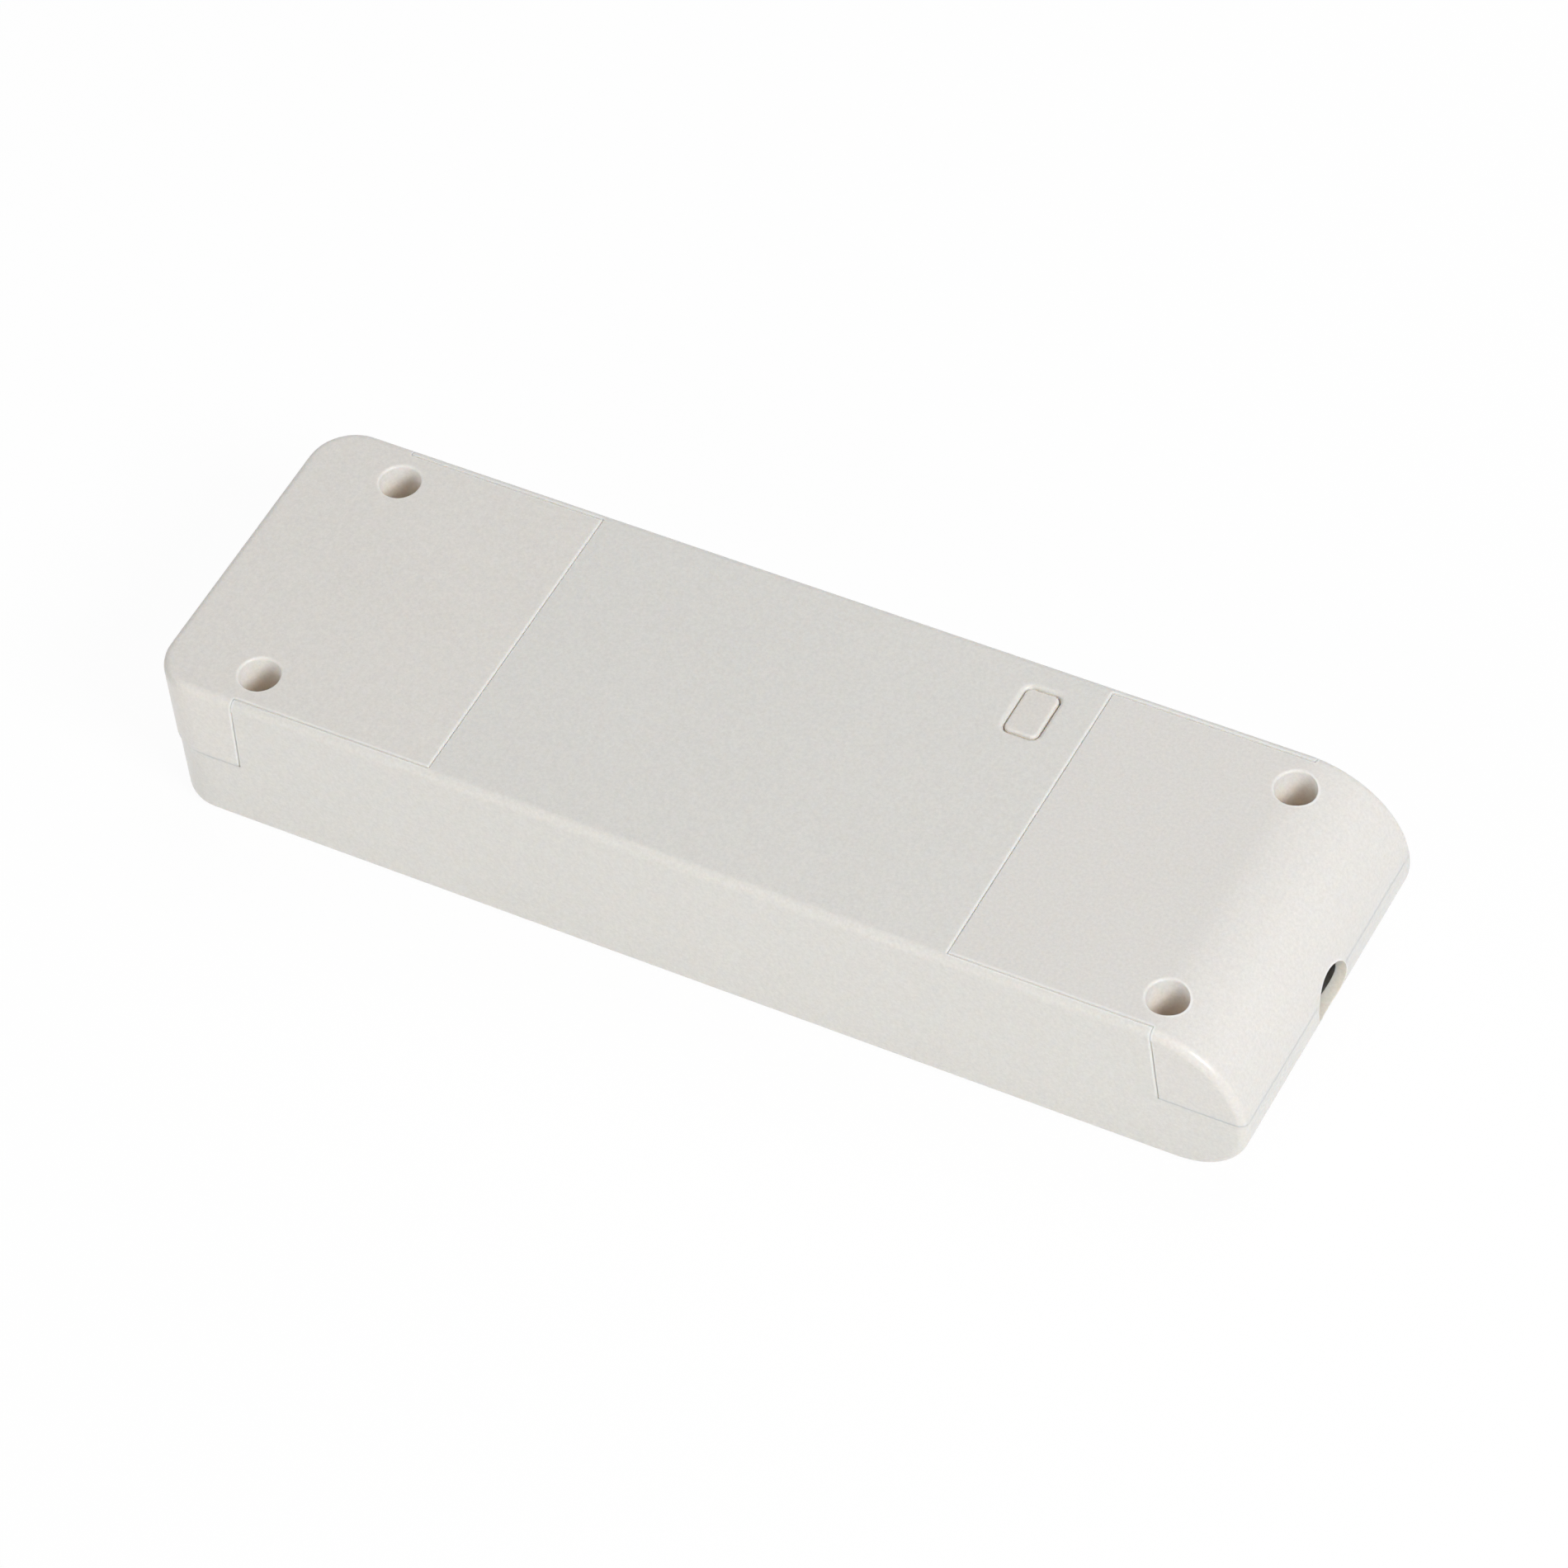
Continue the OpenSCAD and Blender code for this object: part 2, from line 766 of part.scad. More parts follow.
module button_collar() {
    l = flange_l + 2 * collar_fit;
    w = flange_w + 2 * collar_fit;
    r = flange_r + collar_fit;
    drop = flange_t + flange_gap + button_travel + collar_t;
    translate([button_x, button_y, ceiling_z - drop])
        linear_extrude(drop + seam_gap)
            difference() {
                round_rect(l + 2 * collar_t, w + 2 * collar_t, r + collar_t);
                round_rect(l, w, r);
            }
}

module catch_rib(side, s) {
    seam = side > 0 ? seam_r : seam_l;
    near = seam + side * arm_in;
    far = near + side * arm_l;
    inner = s * (inner_y - catch_d);
    outer = s * (inner_y + seam_gap);
    box([min(near, far), min(inner, outer), catch_z], [max(near, far), max(inner, outer), catch_z + catch_h]);
}

module housing_shell() {
    color("gainsboro")
        difference() {
            union() {
                housing_walls();
                button_collar();
                for (side = [-1, 1]) {
                    shield_wall(side);
                    for (s = [-1, 1])
                        catch_rib(side, s);
                }
                for (x = base_screw_xs)
                    for (s = [-1, 1])
                        translate([x, s * boss_y, wall_t])
                            cylinder(d = boss_d, h = boss_z - wall_t);
                at_towers([tower_l, tower_r])
                    cylinder(d = tube_d, h = tower_z);
                for (x = [tower_l, tower_r])
                    for (s = [-1, 1])
                        box([x - tube_t, min(s * hole_dy / 2, s * (inner_y + seam_gap)), wall_t - seam_gap],
                            [x + tube_t, max(s * hole_dy / 2, s * (inner_y + seam_gap)), tower_z]);
                clamp_seat(tower_l);
                clamp_seat(tower_r);
            }
            cable_bores();
            at_towers([tower_l, tower_r])
                translate([0, 0, -over])
                    cylinder(d = screw_hole_d, h = tower_z + 2 * over);
            for (x = base_screw_xs)
                for (s = [-1, 1])
                    translate([x, s * boss_y, 0])
                        cylinder(d = pilot_d, h = boss_z - over);
            for (x = [tower_l, tower_r])
                for (s = [-1, 1])
                    translate([x, cable_y + s * clamp_dy / 2, clamp_z + clamp_t - screw_l - over])
                        cylinder(d = pilot_d, h = screw_l + over);
            translate([button_x, button_y, ceiling_z - over])
                linear_extrude(wall_t + 2 * over)
                    round_rect(window_l, window_w, window_r);
            translate([button_x, button_y, body_h])
                window_rim(window_l, window_w, window_r, window_rim_r);
        }
}

// Arm with a hook that snaps under a catch rib
module snap_arm(side, s) {
    seam = side > 0 ? seam_r : seam_l;
    mid = seam + side * (arm_in + arm_l / 2);
    face = inner_y - catch_d - catch_fit;
    translate([mid, 0, 0])
        mirror([0, s < 0 ? 1 : 0, 0])
            rotate([90, 0, 90])
                linear_extrude(arm_l, center = true)
                    polygon([[face - arm_t, plate_z + seam_gap], [face, plate_z + seam_gap], [face, catch_z],
                        [face + catch_d, catch_z], [face + catch_d, catch_z - catch_d / 2],
                        [face, catch_z - 2 * catch_d], [face - arm_t, catch_z - 2 * catch_d]]);
}

module cover(side, x) {
    difference() {
        union() {
            intersection() {
                envelope(0);
                union() {
                    cover_plate_zone(side, seam_gap);
                    difference() {
                        skirt_zone(side, seam_gap);
                        hollow(wall_t, 0, ceiling_z);
                    }
                }
            }
            at_towers([x])
                translate([0, 0, tower_z])
                    cylinder(d = tube_d, h = plate_z - tower_z + seam_gap);
            for (s = [-1, 1])
                snap_arm(side, s);
        }
        locating_lip(side, lip_fit);
        cable_bores();
        seam_rounds(side, seam_gap, 1);
        at_towers([x]) {
            cylinder(d = screw_hole_d, h = body_h);
            translate([0, 0, tower_z + seat_t])
                cylinder(d = hole_d, h = body_h);
            translate([0, 0, body_h])
                hole_rim(hole_d, rim_r);
        }
    }
}

module input_cover() {
    color("whitesmoke")
        cover(-1, tower_l);
}

module output_cover() {
    color("white")
        cover(1, tower_r);
}

module push_button() {
    color("lightgray")
        translate([button_x, button_y, 0]) {
            translate([0, 0, flange_z])
                linear_extrude(flange_t)
                    round_rect(flange_l, flange_w, flange_r);
            translate([0, 0, flange_z])
                soft_block(button_l, button_w, button_top - flange_z, button_r, button_edge_r);
            translate([0, 0, plunger_z])
                cylinder(d = stem_d, h = flange_z - plunger_z + button_edge_r);
        }
}

module base_plate() {
    y = inner_y - base_fit;
    color("silver")
        difference() {
            union() {
                box([base_x0 + base_fit, -y, 0], [base_x1 - base_fit, y, wall_t]);
                for (x = post_xs)
                    for (s = [-1, 1])
                        translate([x, s * post_dy / 2, 0])
                            cylinder(d = post_d, h = board_z);
            }
            for (x = base_screw_xs)
                for (s = [-1, 1])
                    translate([x, s * boss_y, 0]) {
                        cylinder(d = pilot_d, h = wall_t + over);
                        translate([0, 0, -over])
                            cylinder(d = bore_d, h = head_h + screw_fit + over);
                    }
            for (x = post_xs)
                for (s = [-1, 1])
                    translate([x, s * post_dy / 2, board_top - board_screw_l - screw_fit])
                        cylinder(d = pilot_d, h = board_screw_l);
        }
}

module base_screws() {
    color("dimgray")
        for (x = base_screw_xs)
            for (s = [-1, 1])
                translate([x, s * boss_y, head_h + screw_fit])
                    rotate([180, 0, 0])
                        pan_screw(screw_d, screw_l);
}

// Bar that holds the cord down on the saddle
module clamp_bar(x) {
    translate([x, cable_y, 0])
        difference() {
            translate([0, 0, clamp_z])
                linear_extrude(clamp_t)
                    round_rect(clamp_w, clamp_l, clamp_post_d / 2);
            translate([0, 0, cable_z])
                rotate([0, 90, 0])
                    cylinder(d = cable_d - cord_bite, h = 2 * clamp_w, center = true);
            for (s = [-1, 1])
                translate([0, s * clamp_dy / 2, 0])
                    cylinder(d = pilot_d, h = body_h);
        }
}

module input_clamp() {
    color("lightslategray")
        clamp_bar(tower_l);
}

module output_clamp() {
    color("lightslategray")
        clamp_bar(tower_r);
}

module clamp_screws() {
    color("dimgray")
        for (x = [tower_l, tower_r])
            for (s = [-1, 1])
                translate([x, cable_y + s * clamp_dy / 2, clamp_z + clamp_t])
                    pan_screw(screw_d, screw_l);
}

module circuit_board() {
    color("seagreen")
        difference() {
            box([board_x0, -board_w / 2, board_z], [board_x1, board_w / 2, board_top]);
            for (x = base_screw_xs)
                for (s = [-1, 1])
                    translate([x, s * boss_y, 0])
                        cylinder(d = boss_d + 2 * base_fit + screw_fit, h = body_h);
            for (x = post_xs)
                for (s = [-1, 1])
                    translate([x, s * post_dy / 2, 0])
                        cylinder(d = pilot_d, h = body_h);
        }
}

module board_screws() {
    color("dimgray")
        for (x = post_xs)
            for (s = [-1, 1])
                translate([x, s * post_dy / 2, board_top])
                    pan_screw(screw_d, board_screw_l);
}

// Screw terminal with its wire entries toward one end
module terminal(x, side, poles, pitch) {
    w = poles * pitch;
    lip = term_l / 4;
    translate([x, -w / 2, board_top])
        difference() {
            rotate([90, 0, 0])
                translate([0, 0, -w])
                    linear_extrude(w)
                        polygon([[-side * term_l / 2, 0], [side * term_l / 2, 0],
                            [side * term_l / 2, term_h * 0.7], [side * (term_l / 2 - lip), term_h],
                            [-side * term_l / 2, term_h]]);
            for (i = [0 : poles - 1])
                translate([0, (i + 0.5) * pitch, 0]) {
                    translate([-side * lip / 2, 0, term_h / 2])
                        cylinder(d = term_screw_d + 2 * screw_fit, h = term_h);
                    translate([0, 0, term_h / 3])
                        rotate([0, side * 90, 0])
                            cylinder(d = wire_d, h = term_l);
                }
        }
}

// Slotted clamping screws of a terminal
module terminal_screw_row(x, side, poles, pitch) {
    w = poles * pitch;
    for (i = [0 : poles - 1])
        translate([x - side * term_l / 8, (i + 0.5) * pitch - w / 2, board_top + term_h / 2])
            difference() {
                cylinder(d = term_screw_d, h = term_h / 3);
                translate([-term_screw_d, -screw_fit * 2, term_h / 3 - over])
                    cube([2 * term_screw_d, screw_fit * 4, 2 * over]);
            }
}

module input_terminal() {
    color("darkgray")
        terminal(input_term_x, -1, input_poles, input_pitch);
}

module input_terminal_screws() {
    color("silver")
        terminal_screw_row(input_term_x, -1, input_poles, input_pitch);
}

module output_terminal() {
    color("limegreen")
        terminal(output_term_x, 1, output_poles, output_pitch);
}

module output_terminal_screws() {
    color("silver")
        terminal_screw_row(output_term_x, 1, output_poles, output_pitch);
}

module fuse() {
    cap_l = fuse_l / 5;
    color("bisque")
        translate([col1_x, fuse_y, board_top + fuse_d / 2])
            rotate([90, 0, 0]) {
                cylinder(d = fuse_d - screw_fit * 4, h = fuse_l, center = true);
                for (s = [-1, 1])
                    translate([0, 0, s * (fuse_l - cap_l) / 2])
                        cylinder(d = fuse_d, h = cap_l, center = true);
            }
}

// Round disc part standing on two wires
module disc_part(x, y, d, t) {
    lead = 1.2;
    stand = 1;
    translate([x, y, board_top + stand + d / 2])
        rotate([0, 90, 0]) {
            cylinder(d = d, h = t * 0.6, center = true);
            cylinder(d = d * 0.8, h = t, center = true);
        }
    for (s = [-1, 1])
        translate([x, y + s * d / 4, board_top])
            cylinder(d = lead, h = stand + d / 4);
}

module varistor() {
    color("royalblue")
        disc_part(col1_x, varistor_y, varistor_d, varistor_t);
}

module thermistor() {
    color("darkolivegreen")
        disc_part(col1_x, thermistor_y, thermistor_d, varistor_t);
}

module y_capacitor() {
    color("steelblue")
        disc_part(col5_x, y_cap_y, y_cap_d, y_cap_t);
}

module x_capacitor() {
    color("gold")
        translate([col2_x, x_cap_y, board_top])
            soft_block(x_cap_w, x_cap_l, x_cap_h, 1.2, 0.5);
}

module bridge_rectifier() {
    pins = 4;
    lift = 2;
    pin_t = 1;
    color("black")
        translate([col2_x, bridge_y, board_top]) {
            translate([0, 0, lift])
                rotate([90, 0, 0])
                    linear_extrude(bridge_l, center = true)
                        polygon([[-bridge_t / 2, 0], [bridge_t / 2, 0], [bridge_t / 2, bridge_h - lift - pin_t],
                            [bridge_t / 2 - pin_t, bridge_h - lift], [-bridge_t / 2, bridge_h - lift]]);
            for (i = [0 : pins - 1])
                translate([-pin_t / 2, (i - (pins - 1) / 2) * bridge_l / pins - pin_t / 2, 0])
                    cube([pin_t, pin_t, lift + pin_t]);
        }
}

module choke_core() {
    color("darkslategray")
        translate([col3_x, choke_y, board_top + choke_wire + choke_d / 2])
            rotate([0, 90, 0])
                difference() {
                    cylinder(d = choke_d, h = choke_t, center = true);
                    cylinder(d = choke_bore, h = 2 * choke_t, center = true);
                }
}

// Two windings wrapped round opposite halves of the choke ring
module choke_winding() {
    turns_z = choke_d / 5;
    outer_d = choke_d + 2 * choke_wire;
    bore = choke_bore - 2 * choke_wire;
    color("chocolate")
        translate([col3_x, choke_y, board_top + outer_d / 2])
            difference() {
                rotate([0, 90, 0])
                    difference() {
                        cylinder(d = outer_d, h = choke_t + 2 * choke_wire, center = true);
                        cylinder(d = bore, h = 2 * choke_t, center = true);
                        difference() {
                            cylinder(d = choke_d, h = choke_t, center = true);
                            cylinder(d = choke_bore, h = 2 * choke_t, center = true);
                        }
                    }
                cube([2 * choke_d, turns_z, 2 * outer_d], center = true);
            }
}

module control_chip() {
    w = 4;
    l = 5;
    h = 1.5;
    lift = 0.2;
    lead_w = 0.4;
    lead_n = 4;
    color("black")
        translate([col3_x, chip_y, board_top]) {
            translate([-l / 2, -w / 2, lift])
                cube([l, w, h]);
            for (i = [0 : lead_n - 1])
                translate([(i - (lead_n - 1) / 2) * l / lead_n - lead_w / 2, -w / 2 - over, 0])
                    cube([lead_w, w + 2 * over, lift + lead_w]);
        }
}

module bulk_capacitor() {
    groove = 0.5;
    groove_in = 3;
    bead = 1;
    color("midnightblue")
        translate([col4_x, bulk_y, board_top + bulk_d / 2])
            rotate([90, 0, 0])
                difference() {
                    cylinder(d = bulk_d, h = bulk_l, center = true);
                    translate([0, 0, bulk_l / 2 - groove_in])
                        difference() {
                            cylinder(d = bulk_d + over, h = bead);
                            cylinder(d = bulk_d - 2 * groove, h = 3 * bead, center = true);
                        }
                }
}

// Flat-backed transistor standing on its three legs
module power_device(x, y) {
    legs = 3;
    leg = 1;
    tab_t = 1.2;
    translate([x - fet_t / 2, y, board_top]) {
        translate([0, -fet_w / 2, fet_leg])
            cube([fet_t, fet_w, fet_h - tab_t]);
        translate([fet_t - tab_t, -fet_w / 2, fet_leg])
            cube([tab_t, fet_w, fet_h]);
        for (i = [0 : legs - 1])
            translate([fet_t / 2, (i - 1) * fet_w / 4 - leg / 2, 0])
                cube([leg, leg, fet_leg + leg]);
    }
}

// Plate with upright fins
module heatsink(x, y) {
    translate([x, y - sink_w / 2, board_top]) {
        cube([sink_t, sink_w, sink_h]);
        for (i = [0 : fin_n - 1])
            translate([0, i * (sink_w - sink_t) / (fin_n - 1), 0])
                cube([sink_t + fin_d, sink_t, sink_h]);
    }
}

module switch_transistor() {
    color("black")
        power_device(col4_x - sink_l / 2, switch_sink_y);
}

module switch_heatsink() {
    color("lightsteelblue")
        heatsink(col4_x - sink_l / 2 + fet_t / 2, switch_sink_y);
}

module output_diode() {
    color("black")
        power_device(col6_x - sink_l / 2, diode_sink_y);
}

module output_heatsink() {
    color("lightsteelblue")
        heatsink(col6_x - sink_l / 2 + fet_t / 2, diode_sink_y);
}

// E cores set together: outer legs, centre leg and two backs
module transformer_core() {
    z0 = board_top + rail_h;
    color("dimgray")
        difference() {
            box([col5_x - core_l / 2, core_y - core_w / 2, z0], [col5_x + core_l / 2, core_y + core_w / 2, z0 + core_h]);
            difference() {
                box([col5_x - core_l / 2 + core_leg, core_y - core_w / 2 + core_leg, z0 - over],
                    [col5_x + core_l / 2 - core_leg, core_y + core_w / 2 - core_leg, z0 + core_h + over]);
                translate([col5_x, core_y, z0])
                    rotate([0, 90, 0])
                        translate([-core_h / 2, 0, 0])
                            cylinder(d = 2 * core_leg, h = core_l, center = true);
            }
        }
}

// Bobbin with its winding round the centre leg, standing on two pin rails
module transformer_winding() {
    z0 = board_top + rail_h;
    window_x = core_l - 2 * core_leg - 2 * wind_fit;
    window_y = core_w - 2 * core_leg - 2 * wind_fit;
    bobbin_in = 2 * core_leg + 2 * wind_fit;
    color("khaki") {
        translate([col5_x, core_y, z0 + core_h / 2])
            rotate([0, 90, 0])
                difference() {
                    intersection() {
                        cylinder(d = window_y, h = window_x, center = true);
                        cube([core_h + rail_h, window_y, core_l], center = true);
                    }
                    cylinder(d = bobbin_in, h = core_l, center = true);
                }
        box([col5_x - window_x / 2, core_y - window_y / 2 + wind_fit, board_top],
            [col5_x + window_x / 2, core_y + window_y / 2 - wind_fit, z0]);
        for (s = [-1, 1])
            box([col5_x - core_l / 2, core_y + s * core_w / 3 - core_leg / 2, board_top],
                [col5_x + core_l / 2, core_y + s * core_w / 3 + core_leg / 2, z0]);
    }
}

module optocoupler() {
    lift = 0.5;
    lead = 1;
    color("black")
        translate([col5_x, opto_y, board_top]) {
            translate([-opto_l / 2, -opto_w / 2, lift])
                cube([opto_l, opto_w, opto_h - lift]);
            for (sx = [-1, 1])
                for (sy = [-1, 1])
                    translate([sx * opto_l / 4 - lead / 2, sy * (opto_w / 2 - lead / 2) - lead / 2, 0])
                        cube([lead, lead, opto_h / 2]);
        }
}

module output_capacitors() {
    foot = 0.6;
    color("midnightblue")
        for (y = [out_cap_y1, out_cap_y2])
            translate([col6_x, y, board_top]) {
                cylinder(d = out_cap_d - 2 * foot, h = out_cap_h);
                translate([0, 0, foot])
                    cylinder(d = out_cap_d, h = out_cap_h - 2 * foot);
            }
}

module dimming_transistors() {
    color("black")
        for (y = dim_ys)
            for (s = [-1, 1])
                translate([button_x + s * (dim_s + part_gap) / 2 - dim_s / 2, y - dim_s / 2, board_top])
                    cube([dim_s, dim_s, dim_h]);
}

module radio_board() {
    color("darkgreen")
        box([button_x - radio_l / 2, radio_y - radio_w / 2, board_top],
            [button_x + radio_l / 2, radio_y + radio_w / 2, board_top + radio_t]);
}

module radio_shield() {
    z0 = board_top + radio_t;
    color("silver")
        box([button_x - radio_l / 2 + shield_in, radio_y - radio_w / 2 + shield_in, z0],
            [button_x + radio_l / 2 - shield_in, radio_y + radio_w / 2 - antenna_l, z0 + shield_h]);
}

module tact_switch() {
    bore = plunger_d + 2 * plunger_fit;
    depth = button_travel + 3 * plunger_fit + over;
    color("darkslategray")
        translate([button_x, button_y, board_top])
            difference() {
                translate([-switch_s / 2, -switch_s / 2, 0])
                    cube([switch_s, switch_s, switch_h]);
                translate([0, 0, switch_h - depth])
                    cylinder(d = bore, h = depth + over);
            }
}

module switch_plunger() {
    color("black")
        translate([button_x, button_y, board_top + switch_h - over])
            cylinder(d = plunger_d, h = switch_total - switch_h + over);
}

housing_shell();
base_plate();
input_cover();
output_cover();
push_button();
base_screws();
input_clamp();
output_clamp();
clamp_screws();
circuit_board();
board_screws();
input_terminal();
input_terminal_screws();
output_terminal();
output_terminal_screws();
fuse();
varistor();
thermistor();
x_capacitor();
bridge_rectifier();
choke_core();
choke_winding();
control_chip();
bulk_capacitor();
switch_transistor();
switch_heatsink();
transformer_core();
transformer_winding();
optocoupler();
y_capacitor();
output_diode();
output_heatsink();
output_capacitors();
dimming_transistors();
radio_board();
radio_shield();
tact_switch();
switch_plunger();
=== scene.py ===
"""LED driver: finishes of the case and of the parts inside, with a plain studio stage.

Every object is in metres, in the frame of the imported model: X runs along the body toward
the rounded output end, Z is up, the base lies on Z = 0.
"""

import json
import math

import bpy
from bpy.props import FloatProperty, FloatVectorProperty, IntProperty, PointerProperty
from bpy.types import Operator, Panel, PropertyGroup
from mathutils import Matrix, Vector


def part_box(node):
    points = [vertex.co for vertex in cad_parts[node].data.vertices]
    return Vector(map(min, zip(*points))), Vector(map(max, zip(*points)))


bl_info = {
    "name": "LED driver",
    "version": (1, 0, 0),
    "blender": (4, 5, 0),
    "location": "3D View > Sidebar > Driver",
    "description": "Finishes of a moulded LED driver and the stage it stands on",
    "category": "Object",
}

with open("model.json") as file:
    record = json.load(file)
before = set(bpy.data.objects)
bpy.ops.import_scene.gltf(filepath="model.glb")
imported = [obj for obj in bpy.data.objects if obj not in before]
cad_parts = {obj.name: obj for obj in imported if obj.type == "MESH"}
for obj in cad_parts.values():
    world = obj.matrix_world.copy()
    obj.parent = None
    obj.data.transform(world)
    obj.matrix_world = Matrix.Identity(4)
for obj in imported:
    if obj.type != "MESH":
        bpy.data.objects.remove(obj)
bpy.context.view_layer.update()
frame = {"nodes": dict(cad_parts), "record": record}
MM = 0.001
WHITE = (1.0, 1.0, 1.0, 1.0)
RECORD_COLOURS = {m["slot"]: m["base_color"] for m in frame["record"]["materials"]}
SLOT_OF_NODE = {s["node"]: s["material_slot"] for s in frame["record"]["subparts"]}
OPENINGS = {o["name"]: o["box_m"] for o in frame["record"]["physics"]["openings"]}
# A point on the axis along X that both cord inlets share, in millimetres.
INLET_AXIS = [(a + b) / 2 / MM for a, b in zip(*OPENINGS["output_cord_inlet"])]

# How open a point of the case lies where a mask is 0, and where it is 1. These masks carry the
# painted highlight on edges and the painted light and shade in gaps, cord inlets and hollows.
THIN_EDGE = (0.93, 0.66)
NARROW_GAP = (0.6, 0.2)
HOLLOW = (0.85, 0.35)
DEEP_HOLLOW = (0.26, 0.08)
# Height over which a mask sets in above its base, in millimetres.
MASK_FADE = 2.0
# Rays that the shader sends out at a point to find edges, gaps and hollows.
BEVEL_RAYS = 6
EDGE_RAYS = 4
HOLLOW_RAYS = 6
# How far green and blue light travel inside the plastic, against red.
LEAK_RATIO = (1.0, 0.66, 0.4)
# Shift of the texture of each case piece in millimetres, so that no pattern runs across a seam.
GRAIN_SHIFT = {
    "housing_shell": (0.0, 0.0, 0.0),
    "base_plate": (31.0, 7.0, 3.0),
    "input_cover": (11.0, 5.0, 17.0),
    "output_cover": (5.0, 23.0, 9.0),
    "push_button": (2.0, 3.0, 29.0),
}

# Sockets of a Mix node that hold colours; their names repeat, so they go by number.
MIX_SHARE, MIX_FIRST, MIX_SECOND, MIX_RESULT = 0, 6, 7, 2


class Wire:
    """A socket in a shader tree; arithmetic on it adds Math nodes."""

    def __init__(self, finish, socket):
        self.finish = finish
        self.socket = socket

    def _math(self, operation, first, second):
        return self.finish.node("ShaderNodeMath", {"operation": operation}, {0: first, 1: second})

    def __add__(self, other):
        return self._math("ADD", self, other)

    __radd__ = __add__

    def __sub__(self, other):
        return self._math("SUBTRACT", self, other)

    def __rsub__(self, other):
        return self._math("SUBTRACT", other, self)

    def __mul__(self, other):
        return self._math("MULTIPLY", self, other)

    __rmul__ = __mul__

    def __gt__(self, other):
        return self._math("GREATER_THAN", self, other)

    def __lt__(self, other):
        return self._math("LESS_THAN", self, other)

    def __abs__(self):
        return self._math("ABSOLUTE", self, 0.0)

    def sway(self, amount):
        """Swings about 0 by an amount, for a noise about 0.5."""
        return (self - 0.5) * amount

    def ramp(self, low, high):
        """0 below low, 1 above high, smooth between; falls where low is above high."""
        ends = {"From Min": low, "From Max": high, "To Min": 0.0, "To Max": 1.0}
        if low > high:
            ends = {"From Min": high, "From Max": low, "To Min": 1.0, "To Max": 0.0}
        smooth = {"interpolation_type": "SMOOTHSTEP"}
        return self.finish.node("ShaderNodeMapRange", smooth, {"Value": self, **ends})


